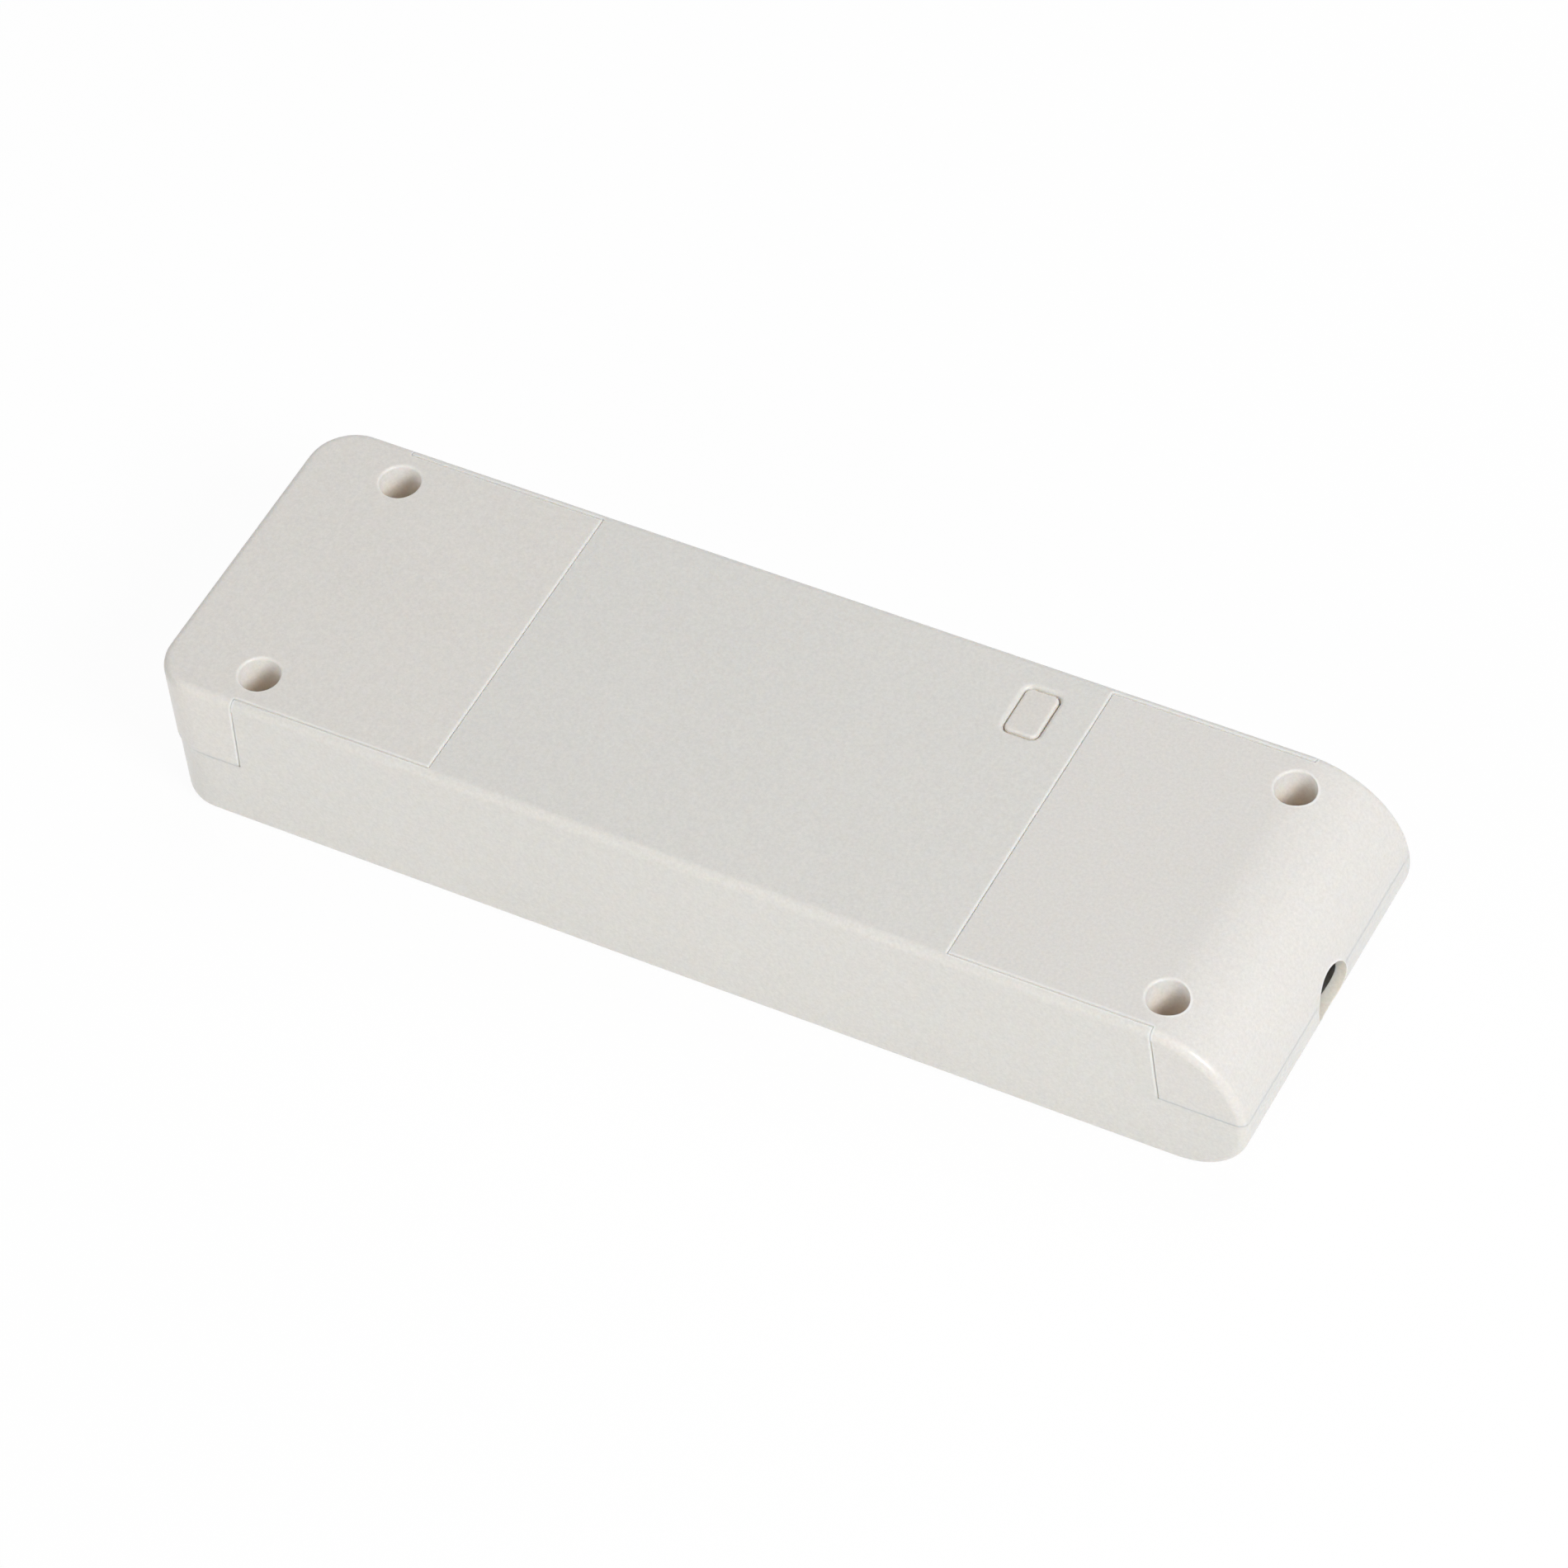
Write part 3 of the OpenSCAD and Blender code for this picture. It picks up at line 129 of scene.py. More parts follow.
class Finish:
    """A procedural material for one or more of the driver's pieces.

    Places and feature sizes of its textures are in millimetres, depths and reaches in metres.
    """

    def __init__(self, name, tree=None):
        self.material = None
        if tree is None:
            self.material = bpy.data.materials.new(name)
            self.material.use_nodes = True
            tree = self.material.node_tree
        self.tree = tree
        self.shader = next((n for n in tree.nodes if n.type == "BSDF_PRINCIPLED"), None)

    def node(self, kind, settings=None, inputs=None, output=0):
        """Adds a node, with its settings first and then its sockets' values or links."""
        made = self.tree.nodes.new(kind)
        for key, value in (settings or {}).items():
            setattr(made, key, value)
        self.feed(made, inputs or {})
        return Wire(self, made.outputs[output]) if made.outputs else None

    def feed(self, made, inputs):
        """Sets or links the sockets of a node by their name or number."""
        for key, value in inputs.items():
            if isinstance(value, Wire):
                self.tree.links.new(value.socket, made.inputs[key])
            else:
                made.inputs[key].default_value = value

    def point(self, shift=(0.0, 0.0, 0.0)):
        """The place on the piece, in millimetres."""
        coords = self.node("ShaderNodeTexCoord", output="Object")
        scaled = self.vector("SCALE", coords, scale=1 / MM)
        return self.vector("ADD", scaled, shift)

    def facing(self):
        """The direction that the surface faces, in the piece's own frame."""
        return self.node("ShaderNodeTexCoord", output="Normal")

    def vector(self, operation, first, second=None, scale=None, output="Vector"):
        """Vector Math; a scalar result is the output Value."""
        inputs = {0: first}
        if second is not None:
            inputs[1] = second
        if scale is not None:
            inputs["Scale"] = scale
        return self.node("ShaderNodeVectorMath", {"operation": operation}, inputs, output)

    def axis(self, vector, name):
        """One part of a vector."""
        return self.node("ShaderNodeSeparateXYZ", {}, {0: vector}, name)

    def noise(self, point, size, detail=2.0):
        """Soft noise of a feature size in millimetres, about 0.5."""
        inputs = {"Vector": point, "Scale": 1 / size, "Detail": detail}
        return self.node("ShaderNodeTexNoise", {}, inputs)

    def dots(self, point, spacing, part):
        """Distance in millimetres from scattered dots, and a random value of the nearest one."""
        inputs = {"Vector": point, "Scale": 1 / spacing}
        apart = self.node("ShaderNodeTexVoronoi", {}, inputs, "Distance") * spacing
        pick = self.axis(self.node("ShaderNodeTexVoronoi", {}, inputs, "Color"), part)
        return apart, pick

    def most(self, first, second):
        """The larger of two values."""
        return self.node("ShaderNodeMath", {"operation": "MAXIMUM"}, {0: first, 1: second})

    def mix(self, share, first, second):
        """Colour between two colours."""
        inputs = {MIX_SHARE: share, MIX_FIRST: first, MIX_SECOND: second}
        return self.node("ShaderNodeMix", {"data_type": "RGBA"}, inputs, MIX_RESULT)

    def tone(self, colour, shade):
        """Colour made lighter or darker by a factor."""
        plain = colour if isinstance(colour, Wire) else colour[:3]
        return self.vector("SCALE", plain, scale=shade)

    def openness(self, distance, **settings):
        """Share of the directions in which nothing lies within a distance."""
        return self.node("ShaderNodeAmbientOcclusion", settings, {"Distance": distance}, "AO")

    def rounded_edges(self, radius):
        """Normal with the sharp edges eased, and a mask of those edges."""
        eased = self.node("ShaderNodeBevel", {"samples": BEVEL_RAYS}, {"Radius": radius})
        plain = self.node("ShaderNodeNewGeometry", output="Normal")
        along = self.vector("DOT_PRODUCT", eased, plain, output="Value")
        return eased, (1 - along).ramp(0.01, 0.3)

    def surface(self, colour, roughness, height=None, depth=0.0, normal=None, **constants):
        """Feeds the shader; what is the same all over is set on its own socket."""
        self.feed(self.shader, {"Base Color": colour, "Roughness": roughness})
        if height is not None:
            bump = {"Strength": 1.0, "Distance": depth, "Height": height}
            if normal is not None:
                bump["Normal"] = normal
            normal = self.node("ShaderNodeBump", {}, bump)
        if normal is not None:
            self.feed(self.shader, {"Normal": normal})
        for name, value in constants.items():
            self.feed(self.shader, {name.replace("_", " "): value})
        return self.material


def opaque(colour):
    """A colour with full alpha, as colour sockets take it."""
    return (*colour[:3], 1.0)


def tinted(colour, factors):
    """A colour with each of its parts times a factor."""
    return opaque([c * t for c, t in zip(colour, factors)])


def slot_colour(node):
    """Colour that the record gives to a node."""
    return RECORD_COLOURS[SLOT_OF_NODE[node]]


def dress(nodes, material):
    """Gives CAD nodes a material."""
    for name in nodes:
        for slot in frame["nodes"][name].material_slots:
            slot.material = material


def moulded_plastic(name, colour, look, shift):
    """Satin moulded plastic: spark-eroded grain, faint flow shading, specks and eased edges, with a
    painted highlight along the edges, painted light on the walls of gaps, cord inlets and hollows
    and painted shade at the depth of holes, standing in for light that thin plastic lets through
    and bounces round; the plastic also scatters light inside it."""
    pore_scale = 0.4
    pore_share = 0.4
    empty_share = 0.72
    flow_contrast = 0.03
    speck_contrast = 0.2
    highlight_strength = 0.4
    f = Finish(name)
    p = f.point(shift)
    grain = f.noise(p, look.grain_size)
    pores = f.noise(p, look.grain_size * pore_scale)
    relief = grain * (1 - pore_share) + pores * pore_share
    flow = f.noise(p, look.flow_size, detail=3.0)
    apart, pick = f.dots(p, look.speck_spacing, "X")
    speck = (apart < look.speck_size / 2) * (pick > empty_share)
    grained = relief.sway(look.grain_contrast)
    shade = 1 + flow.sway(flow_contrast) + grained - speck * speck_contrast

    height = f.axis(p, "Z") - shift[2]

    def above(base):
        """Mask that sets in above a height in metres."""
        return height.ramp(base / MM, base / MM + MASK_FADE)

    eased, worn = f.rounded_edges(look.edge_round)
    # Painted highlight: edges above a height are made paler, standing in for light that catches
    # them.
    thick = f.openness(look.highlight_reach, samples=EDGE_RAYS, inside=True, only_local=True)
    edge = thick.ramp(*THIN_EDGE) * above(look.highlight_base)
    # Painted light: walls of narrow gaps above a height and of the cord inlets are made paler,
    # standing in for light that thin plastic lets through.
    tight = f.openness(look.gap_reach, samples=HOLLOW_RAYS)
    gap = tight.ramp(*NARROW_GAP) * above(look.gap_base)
    off_axis = f.vector("SUBTRACT", p, [a + b for a, b in zip(INLET_AXIS, shift)])
    across = f.vector("MULTIPLY", off_axis, (0.0, 1.0, 1.0))
    passage = f.most(gap, f.vector("LENGTH", across, output="Value") < look.inlet_size / 2)
    # Painted light and shade in hollows: hole walls are made paler and their depths browner,
    # standing in for light bounced round inside them.
    open_air = f.openness(look.hollow_reach, samples=HOLLOW_RAYS, only_local=True)

    pale = f.mix(open_air.ramp(*HOLLOW), opaque(colour), tinted(colour, look.hollow_painted_light))
    warm = f.mix(open_air.ramp(*DEEP_HOLLOW), pale, tinted(colour, look.depth_painted_shade))
    glow = f.mix(passage, warm, tinted(colour, look.passage_painted_light))
    # Colour of the painted highlight on edges.
    highlight_colour = opaque([1 - (1 - c) * highlight_strength for c in colour])
    lit = f.mix(edge * look.edge_painted_highlight, f.tone(glow, shade), highlight_colour)
    rough = look.roughness + relief.sway(0.2) + flow.sway(0.08) - worn * 0.06
    return f.surface(
        lit, rough, relief, look.grain_depth, eased,
        Coat_Weight=look.skin, Coat_Roughness=look.skin_roughness,
        Subsurface_Weight=look.translucency, Subsurface_Scale=look.leak,
        Subsurface_Radius=LEAK_RATIO,
    )


def inner_plastic(name, colour, roughness=0.45, grain_size=0.5):
    """Plain moulded plastic of the parts inside, with grain and flow shading."""
    flow_size = 6.0
    edge_round = 0.2 * MM
    grain_depth = 0.02 * MM
    f = Finish(name)
    p = f.point()
    relief = f.noise(p, grain_size)
    flow = f.noise(p, flow_size, detail=3.0)
    eased, edge = f.rounded_edges(edge_round)
    shade = 1 + flow.sway(0.14) + relief.sway(0.08) + edge * 0.12
    rough = roughness + relief.sway(0.2)
    return f.surface(f.tone(colour, shade), rough, relief, grain_depth, eased)


def plated_metal(name, colour, roughness, brush):
    """Plated or extruded metal with drawing lines along the axis of the smallest brush value."""
    line_width = 0.25
    stain_size = 3.0
    edge_round = 0.15 * MM
    line_depth = 0.01 * MM
    f = Finish(name)
    p = f.point()
    lines = f.noise(f.vector("MULTIPLY", p, brush), line_width, detail=3.0)
    stains = f.noise(p, stain_size, detail=4.0)
    eased, edge = f.rounded_edges(edge_round)
    shade = 0.94 + lines * 0.1 + stains.sway(0.16) + edge * 0.1
    rough = roughness + lines.sway(0.18) + stains.sway(0.15)
    return f.surface(f.tone(colour, shade), rough, lines, line_depth, eased, Metallic=1.0)


def dipped_coat(name, colour):
    """Glossy dipped epoxy with soft runs."""
    run_size = 2.4
    pit_size = 0.4
    run_depth = 0.12 * MM
    f = Finish(name)
    p = f.point()
    runs = f.noise(p, run_size)
    pits = f.noise(p, pit_size)
    shade = 0.9 + runs * 0.22 + pits.sway(0.06)
    rough = 0.24 + runs.sway(0.16)
    return f.surface(f.tone(colour, shade), rough, runs * 0.8 + pits * 0.2, run_depth)


def solder_mask(name, colour, pads):
    """Circuit board: copper areas under the mask, tinned vias and a pale cut edge."""
    area_size = 5.0
    via_spacing = 2.6
    via_radius = 0.4
    weave_size = 0.35
    cut_colour = (0.55, 0.5, 0.3)
    relief_depth = 0.03 * MM
    f = Finish(name)
    p = f.point()
    to_edge = {"feature": "DISTANCE_TO_EDGE", "distance": "EUCLIDEAN"}
    border = f.node("ShaderNodeTexVoronoi", to_edge, {"Vector": p, "Scale": 1 / area_size})
    copper = (border * area_size).ramp(0.22, 0.3)
    reach, pick = f.dots(p, via_spacing, "Y")
    flat = abs(f.axis(f.facing(), "Z")).ramp(0.6, 0.9)
    via = (reach < via_radius) * (pick > 0.6) * flat
    weave = f.noise(f.vector("MULTIPLY", p, (1.0, 1.0, 6.0)), weave_size)
    green = f.tone(colour, 0.72 + copper * 0.36 + weave.sway(0.12))
    paint = f.mix(via, f.mix(flat, opaque(cut_colour), green), opaque(pads))
    rough = 0.4 - via * 0.12 - copper * 0.06 + weave.sway(0.1)
    f.feed(f.shader, {"Metallic": via})
    return f.surface(paint, rough, copper * 0.7 + via * 0.6 + weave * 0.1, relief_depth)


def shrink_sleeve(name, colour, stripe, metal, axis):
    """Capacitor can: sleeve with a pale stripe along it, bare metal at its ends."""
    wrinkle_size = 1.4
    dust_size = 0.5
    wrinkle_depth = 0.04 * MM
    f = Finish(name)
    p = f.point()
    facing = f.facing()
    band = abs(f.axis(facing, "X")).ramp(0.93, 0.95)
    wrinkle = f.noise(p, wrinkle_size)
    body = f.tone(f.mix(band, opaque(colour), opaque(stripe)), 0.9 + wrinkle * 0.2)
    end = abs(f.axis(facing, axis)).ramp(0.8, 0.95)
    bare = f.tone(metal, 0.85 + f.noise(p, dust_size) * 0.3)
    f.feed(f.shader, {"Metallic": end})
    rough = 0.26 + wrinkle.sway(0.14) + end * 0.12
    return f.surface(f.mix(end, body, bare), rough, wrinkle, wrinkle_depth)


def wound_tape(name, colour):
    """Layers of insulation tape with their laps showing."""
    crease_size = 1.2
    lap_depth = 0.06 * MM
    f = Finish(name)
    p = f.point()
    laps = {"Vector": p, "Scale": 0.35, "Distortion": 0.6}
    layers = f.node("ShaderNodeTexWave", {"bands_direction": "Z"}, laps, "Fac")
    crease = f.noise(f.vector("MULTIPLY", p, (1.0, 1.0, 4.0)), crease_size)
    shade = 0.84 + layers * 0.14 + crease * 0.12
    rough = 0.22 + crease * 0.16
    return f.surface(f.tone(colour, shade), rough, layers * 0.6 + crease * 0.4, lap_depth)


def wound_wire(name, colour, centre, turns):
    """Enamelled wire laid side by side round a ring whose axis is X."""
    stain_size = 1.5
    strand_depth = 0.25 * MM
    f = Finish(name)
    p = f.vector("SUBTRACT", f.point(), [c / MM for c in centre])
    sides = {0: f.axis(p, "Y"), 1: f.axis(p, "Z")}
    angle = f.node("ShaderNodeMath", {"operation": "ARCTAN2"}, sides)
    wave = f.node("ShaderNodeMath", {"operation": "SINE"}, {0: angle * turns})
    strand = 0.5 + wave * 0.5
    stain = f.noise(p, stain_size)
    # Darker between strands: painted shade in the grooves between the wires.
    shade = 0.55 + strand * 0.45 + stain.sway(0.25)
    rough = 0.24 + stain.sway(0.14)
    return f.surface(f.tone(colour, shade), rough, strand, strand_depth, Metallic=1.0)


def glazed_tube(name, colour, middle, cap_start, metal):
    """Fuse: glazed ceramic tube lying across the board, with plated end caps."""
    glaze_size = 0.9
    cap_fade = 0.15
    cap_step = 0.08 * MM
    f = Finish(name)
    p = f.point()
    reach = abs(f.axis(f.vector("SUBTRACT", p, [c / MM for c in middle]), "Y"))
    cap = reach.ramp(cap_start / MM, cap_start / MM + cap_fade)
    glaze = f.noise(p, glaze_size)
    tube = f.tone(colour, 0.9 + glaze * 0.2)
    paint = f.mix(cap, tube, f.tone(metal, 0.85 + glaze * 0.25))
    f.feed(f.shader, {"Metallic": cap})
    return f.surface(paint, 0.2 + cap * 0.1 + glaze * 0.08, glaze * 0.3 + cap, cap_step)


def sintered(name, colour):
    """Ferrite: dark, matt and speckled."""
    speckle_size = 0.3
    patch_size = 4.0
    edge_round = 0.25 * MM
    speckle_depth = 0.05 * MM
    f = Finish(name)
    p = f.point()
    speckle = f.noise(p, speckle_size, detail=4.0)
    patch = f.noise(p, patch_size)
    eased, edge = f.rounded_edges(edge_round)
    shade = 0.7 + speckle * 0.4 + patch.sway(0.3) + edge * 0.5
    rough = 0.62 + speckle.sway(0.3)
    return f.surface(f.tone(colour, shade), rough, speckle, speckle_depth, eased)


class CaseFinish(PropertyGroup):
    """Colours and surface of the moulded case."""

    housing_colour: FloatVectorProperty(
        name="Housing", description="Colour of the housing", subtype="COLOR", size=3,
        default=(0.66, 0.649, 0.622), min=0.0, max=1.0,
    )
    # Partly its own tone and partly painted light: a little lighter to make up for the key light
    # falling off toward the square end.
    input_cover_colour: FloatVectorProperty(
        name="Input cover", description="Colour of the cover over the square end",
        subtype="COLOR", size=3, default=(0.684, 0.664, 0.632), min=0.0, max=1.0,
    )
    output_cover_colour: FloatVectorProperty(
        name="Output cover", description="Colour of the cover over the rounded end",
        subtype="COLOR", size=3, default=(0.672, 0.654, 0.627), min=0.0, max=1.0,
    )
    button_colour: FloatVectorProperty(
        name="Button", description="Colour of the push button", subtype="COLOR", size=3,
        default=(0.657, 0.636, 0.604), min=0.0, max=1.0,
    )
    base_colour: FloatVectorProperty(
        name="Base plate", description="Colour of the base plate", subtype="COLOR", size=3,
        default=(0.62, 0.611, 0.589), min=0.0, max=1.0,
    )
    # Painted light: factor that makes the walls of holes paler.
    hollow_painted_light: FloatVectorProperty(
        name="Hollow tint", description="Factor on the colour inside holes",
        subtype="COLOR", size=3, default=(1.37, 1.43, 1.49), min=0.0, max=2.0,
    )
    # Painted shade: factor that makes the depth of holes browner, standing in for warm dim bounced
    # light.
    depth_painted_shade: FloatVectorProperty(
        name="Depth tint", description="Factor on the colour at the depth of holes",
        subtype="COLOR", size=3, default=(1.38, 1.16, 0.96), min=0.0, max=2.0,
    )
    # Painted light: factor that makes narrow gaps and cord inlets paler.
    passage_painted_light: FloatVectorProperty(
        name="Passage tint", description="Factor on the colour in narrow gaps and cord inlets",
        subtype="COLOR", size=3, default=(1.4, 1.36, 1.3), min=0.0, max=2.0,
    )
    gap_reach: FloatProperty(
        name="Gap reach", description="Distance within which another surface makes a narrow gap",
        subtype="DISTANCE", default=0.8 * MM, min=0.0,
    )
    # Painted light in narrow gaps shows only above this height.
    gap_base: FloatProperty(
        name="Gap base", description="Height above which narrow gaps are paler",
        subtype="DISTANCE", default=24.0 * MM, min=0.0,
    )
    inlet_size: FloatProperty(
        name="Inlet size",
        description="Diameter that takes in the walls of the cord inlets, in millimetres",
        default=10.2, min=1.0,
    )
    hollow_reach: FloatProperty(
        name="Hollow reach", description="Distance over which a hollow counts as deep",
        subtype="DISTANCE", default=9 * MM, min=0.0,
    )
    roughness: FloatProperty(
        name="Roughness", description="Mean roughness of the case",
        default=0.42, min=0.0, max=1.0,
    )
    skin: FloatProperty(
        name="Skin", description="Weight of the smooth moulding skin", subtype="FACTOR",
        default=0.25, min=0.0, max=1.0,
    )
    skin_roughness: FloatProperty(
        name="Skin roughness", description="Roughness of the smooth moulding skin",
        default=0.14, min=0.0, max=1.0,
    )
    grain_size: FloatProperty(
        name="Grain size", description="Feature size of the mould grain in millimetres",
        default=0.55, min=0.1,
    )
    grain_depth: FloatProperty(
        name="Grain depth", description="Depth of the mould grain", subtype="DISTANCE",
        default=0.045 * MM, min=0.0,
    )
    grain_contrast: FloatProperty(
        name="Grain contrast", description="Tone difference in the grain",
        default=0.36, min=0.0, max=1.0,
    )
    flow_size: FloatProperty(
        name="Flow size", description="Feature size of the broad flow shading in millimetres",
        default=24.0, min=1.0,
    )
    speck_size: FloatProperty(
        name="Speck size", description="Diameter of the dust specks in millimetres",
        default=0.16, min=0.0,
    )
    speck_spacing: FloatProperty(
        name="Speck spacing", description="Mean distance of the dust specks in millimetres",
        default=7.0, min=1.0,
    )
    edge_round: FloatProperty(
        name="Edge rounding", description="Rounding of the moulded edges", subtype="DISTANCE",
        default=0.22 * MM, min=0.0,
    )
    # Painted highlight on the moulded edges: its share, the height above which it shows, and its
    # width.
    edge_painted_highlight: FloatProperty(
        name="Edge light", description="Share of paler plastic along the moulded edges",
        subtype="FACTOR", default=0.62, min=0.0, max=1.0,
    )
    highlight_base: FloatProperty(
        name="Edge base", description="Height above which the moulded edges are paler",
        subtype="DISTANCE", default=14.5 * MM, min=0.0,
    )
    highlight_reach: FloatProperty(
        name="Edge reach", description="Width of the paler plastic along the moulded edges",
        subtype="DISTANCE", default=0.5 * MM, min=0.0,
    )
    translucency: FloatProperty(
        name="Translucency", description="Share of light that scatters inside the plastic",
        default=0.4, min=0.0, max=1.0,
    )
    leak: FloatProperty(
        name="Leak", description="Distance that red light travels inside the plastic",
        subtype="DISTANCE", default=1.5 * MM, min=0.0,
    )


class InsideFinish(PropertyGroup):
    """Colours of what is inside the case, and the turns of the choke."""

    solder: FloatVectorProperty(
        name="Solder", description="Colour of tinned pads", subtype="COLOR", size=3,
        default=(0.75, 0.74, 0.72), min=0.0, max=1.0,
    )
    stripe: FloatVectorProperty(
        name="Stripe", description="Colour of the stripe on capacitor sleeves",
        subtype="COLOR", size=3, default=(0.62, 0.64, 0.66), min=0.0, max=1.0,
    )
    turns: IntProperty(
        name="Turns", description="Strands seen round the choke ring", default=40, min=4,
    )


class StageSetup(PropertyGroup):
    """Camera, lights and floor."""

    eye: FloatVectorProperty(
        name="Camera place", description="Where the camera stands",
        subtype="TRANSLATION", unit="LENGTH", size=3, default=(0.424177, -0.636516, 0.911217),
    )
    right: FloatVectorProperty(
        name="Camera right", description="Direction of the picture's right side",
        subtype="DIRECTION", size=3, default=(0.88063, 0.466278, -0.084119),
    )
    down: FloatVectorProperty(
        name="Camera down", description="Direction of the picture's lower side",
        subtype="DIRECTION", size=3, default=(0.308988, -0.699763, -0.644095),
    )
    sensor: FloatProperty(
        name="Sensor", description="Width of the camera's sensor, in millimetres",
        default=36.0, min=1.0,
    )
    lens: FloatProperty(
        name="Lens", description="Focal length of the camera, in millimetres",
        default=171.5946, min=1.0,
    )
    floor_colour: FloatVectorProperty(
        name="Floor", description="Colour of the floor", subtype="COLOR", size=3,
        default=(0.9, 0.9, 0.9), min=0.0, max=1.0,
    )
    floor_size: FloatProperty(
        name="Floor size", description="Length of the floor's sides", subtype="DISTANCE",
        default=8.0, min=1.0,
    )
    floor_lift: FloatProperty(
        name="Floor lift", description="Share of plain white in the floor as it is seen",
        subtype="FACTOR", default=0.95, min=0.0, max=1.0,
    )
    ambient: FloatProperty(
        name="Ambient", description="Strength of the even light all round",
        default=0.12, min=0.0,
    )
    key_aim: FloatVectorProperty(
        name="Key aim",
        description="Turn about Z and height of the light beyond the rounded end, in degrees",
        size=2, default=(-20.0, 39.0),
    )
    key_size: FloatVectorProperty(
        name="Key size", description="Width and height of the key light",
        subtype="XYZ_LENGTH", size=2, default=(0.55, 0.5),
    )
    key_power: FloatProperty(
        name="Key light", description="Power of the key light", unit="POWER",
        default=15.4, min=0.0,
    )
    fill_aim: FloatVectorProperty(
        name="Fill aim",
        description="Turn about Z and height of the light along the near side, in degrees",
        size=2, default=(-106.0, 15.0),
    )
    fill_size: FloatVectorProperty(
        name="Fill size", description="Width and height of the fill light",
        subtype="XYZ_LENGTH", size=2, default=(1.5, 1.0),
    )
    fill_colour: FloatVectorProperty(
        name="Fill colour", description="Colour of the fill light", subtype="COLOR", size=3,
        default=(1.0, 0.985, 0.95), min=0.0, max=1.0,
    )
    fill_power: FloatProperty(
        name="Fill light", description="Power of the fill light", unit="POWER",
        default=11.2, min=0.0,
    )
    top_aim: FloatVectorProperty(
        name="Top aim", description="Turn about Z and height of the light overhead, in degrees",
        size=2, default=(90.0, 60.0),
    )
    top_size: FloatVectorProperty(
        name="Top size", description="Width and height of the light overhead",
        subtype="XYZ_LENGTH", size=2, default=(1.2, 1.2),
    )
    top_power: FloatProperty(
        name="Top light", description="Power of the light overhead", unit="POWER",
        default=9.6, min=0.0,
    )
    spark_size: FloatVectorProperty(
        name="Spark size", description="Width and height of the lamps that glint on the edges",
        subtype="XYZ_LENGTH", size=2, default=(0.07, 0.07),
    )
    spark_power: FloatProperty(
        name="Spark lamps", description="Power of each small lamp", unit="POWER",
        default=0.8, min=0.0,
    )
    end_spark_aim: FloatVectorProperty(
        name="End spark aim",
        description="Turn about Z and height of the lamp beyond the far corner, in degrees",
        size=2, default=(25.0, 32.0),
    )
    side_spark_aim: FloatVectorProperty(
        name="Side spark aim",
        description="Turn about Z and height of the lamp beyond the square end, in degrees",
        size=2, default=(-140.0, 20.0),
    )
    light_reach: FloatProperty(
        name="Light distance", description="Distance of the lights from the driver",
        subtype="DISTANCE", default=1.5, min=0.1,
    )


class DriverStep:
    """Shared base of the driver's operators."""

    bl_options = {"REGISTER", "UNDO"}


class CasePiece(DriverStep):
    """Shared base of the operators that finish the case."""

    def finish(self, context, node, colour):
        """Gives a piece of the case its moulded plastic, in one of the case's colours."""
        look = context.scene.driver_case
        plastic = moulded_plastic(node, list(getattr(look, colour)), look, GRAIN_SHIFT[node])
        dress([node], plastic)


class DRIVER_OT_housing(CasePiece, Operator):
    """Finish the housing"""

    bl_idname = "driver.housing"
    bl_label = "Housing"

    def execute(self, context):
        self.finish(context, "housing_shell", "housing_colour")
        return {"FINISHED"}


class DRIVER_OT_base(CasePiece, Operator):
    """Finish the base plate"""

    bl_idname = "driver.base"
    bl_label = "Base plate"

    def execute(self, context):
        self.finish(context, "base_plate", "base_colour")
        return {"FINISHED"}


class DRIVER_OT_covers(CasePiece, Operator):
    """Finish the two end covers"""

    bl_idname = "driver.covers"
    bl_label = "Covers"

    def execute(self, context):
        self.finish(context, "input_cover", "input_cover_colour")
        self.finish(context, "output_cover", "output_cover_colour")
        return {"FINISHED"}


class DRIVER_OT_button(CasePiece, Operator):
    """Finish the push button"""

    bl_idname = "driver.button"
    bl_label = "Push button"

    def execute(self, context):
        self.finish(context, "push_button", "button_colour")
        return {"FINISHED"}


class DRIVER_OT_clamps(DriverStep, Operator):
    """Finish the cord clamps and all the screws"""

    bl_idname = "driver.clamps"
    bl_label = "Clamps and screws"

    def execute(self, context):
        clamps = ["input_clamp", "output_clamp"]
        dress(clamps, inner_plastic("clamp_plastic", slot_colour("input_clamp")))
        screws = [
            "base_screws", "clamp_screws", "board_screws",
            "input_terminal_screws", "output_terminal_screws",
        ]
        zinc = plated_metal(
            "zinc_steel", slot_colour("base_screws"), roughness=0.32, brush=(1.0, 1.0, 1.0),
        )
        dress(screws, zinc)
        return {"FINISHED"}


class DRIVER_OT_boards(DriverStep, Operator):
    """Finish the circuit board, the radio board and its shield"""

    bl_idname = "driver.boards"
    bl_label = "Boards"

    def execute(self, context):
        inside = context.scene.driver_inside
        mask = solder_mask("solder_mask", slot_colour("circuit_board"), list(inside.solder))
        dress(["circuit_board", "radio_board"], mask)
        can = plated_metal(
            "tinned_can", slot_colour("radio_shield"), roughness=0.3, brush=(0.06, 1.0, 1.0),
        )
        dress(["radio_shield"], can)
        return {"FINISHED"}


class DRIVER_OT_terminals(DriverStep, Operator):
    """Finish the terminals"""

    bl_idname = "driver.terminals"
    bl_label = "Terminals"

    def execute(self, context):
        for node in ("input_terminal", "output_terminal"):
            block = inner_plastic(node, slot_colour(node), roughness=0.4, grain_size=0.4)
            dress([node], block)
        return {"FINISHED"}


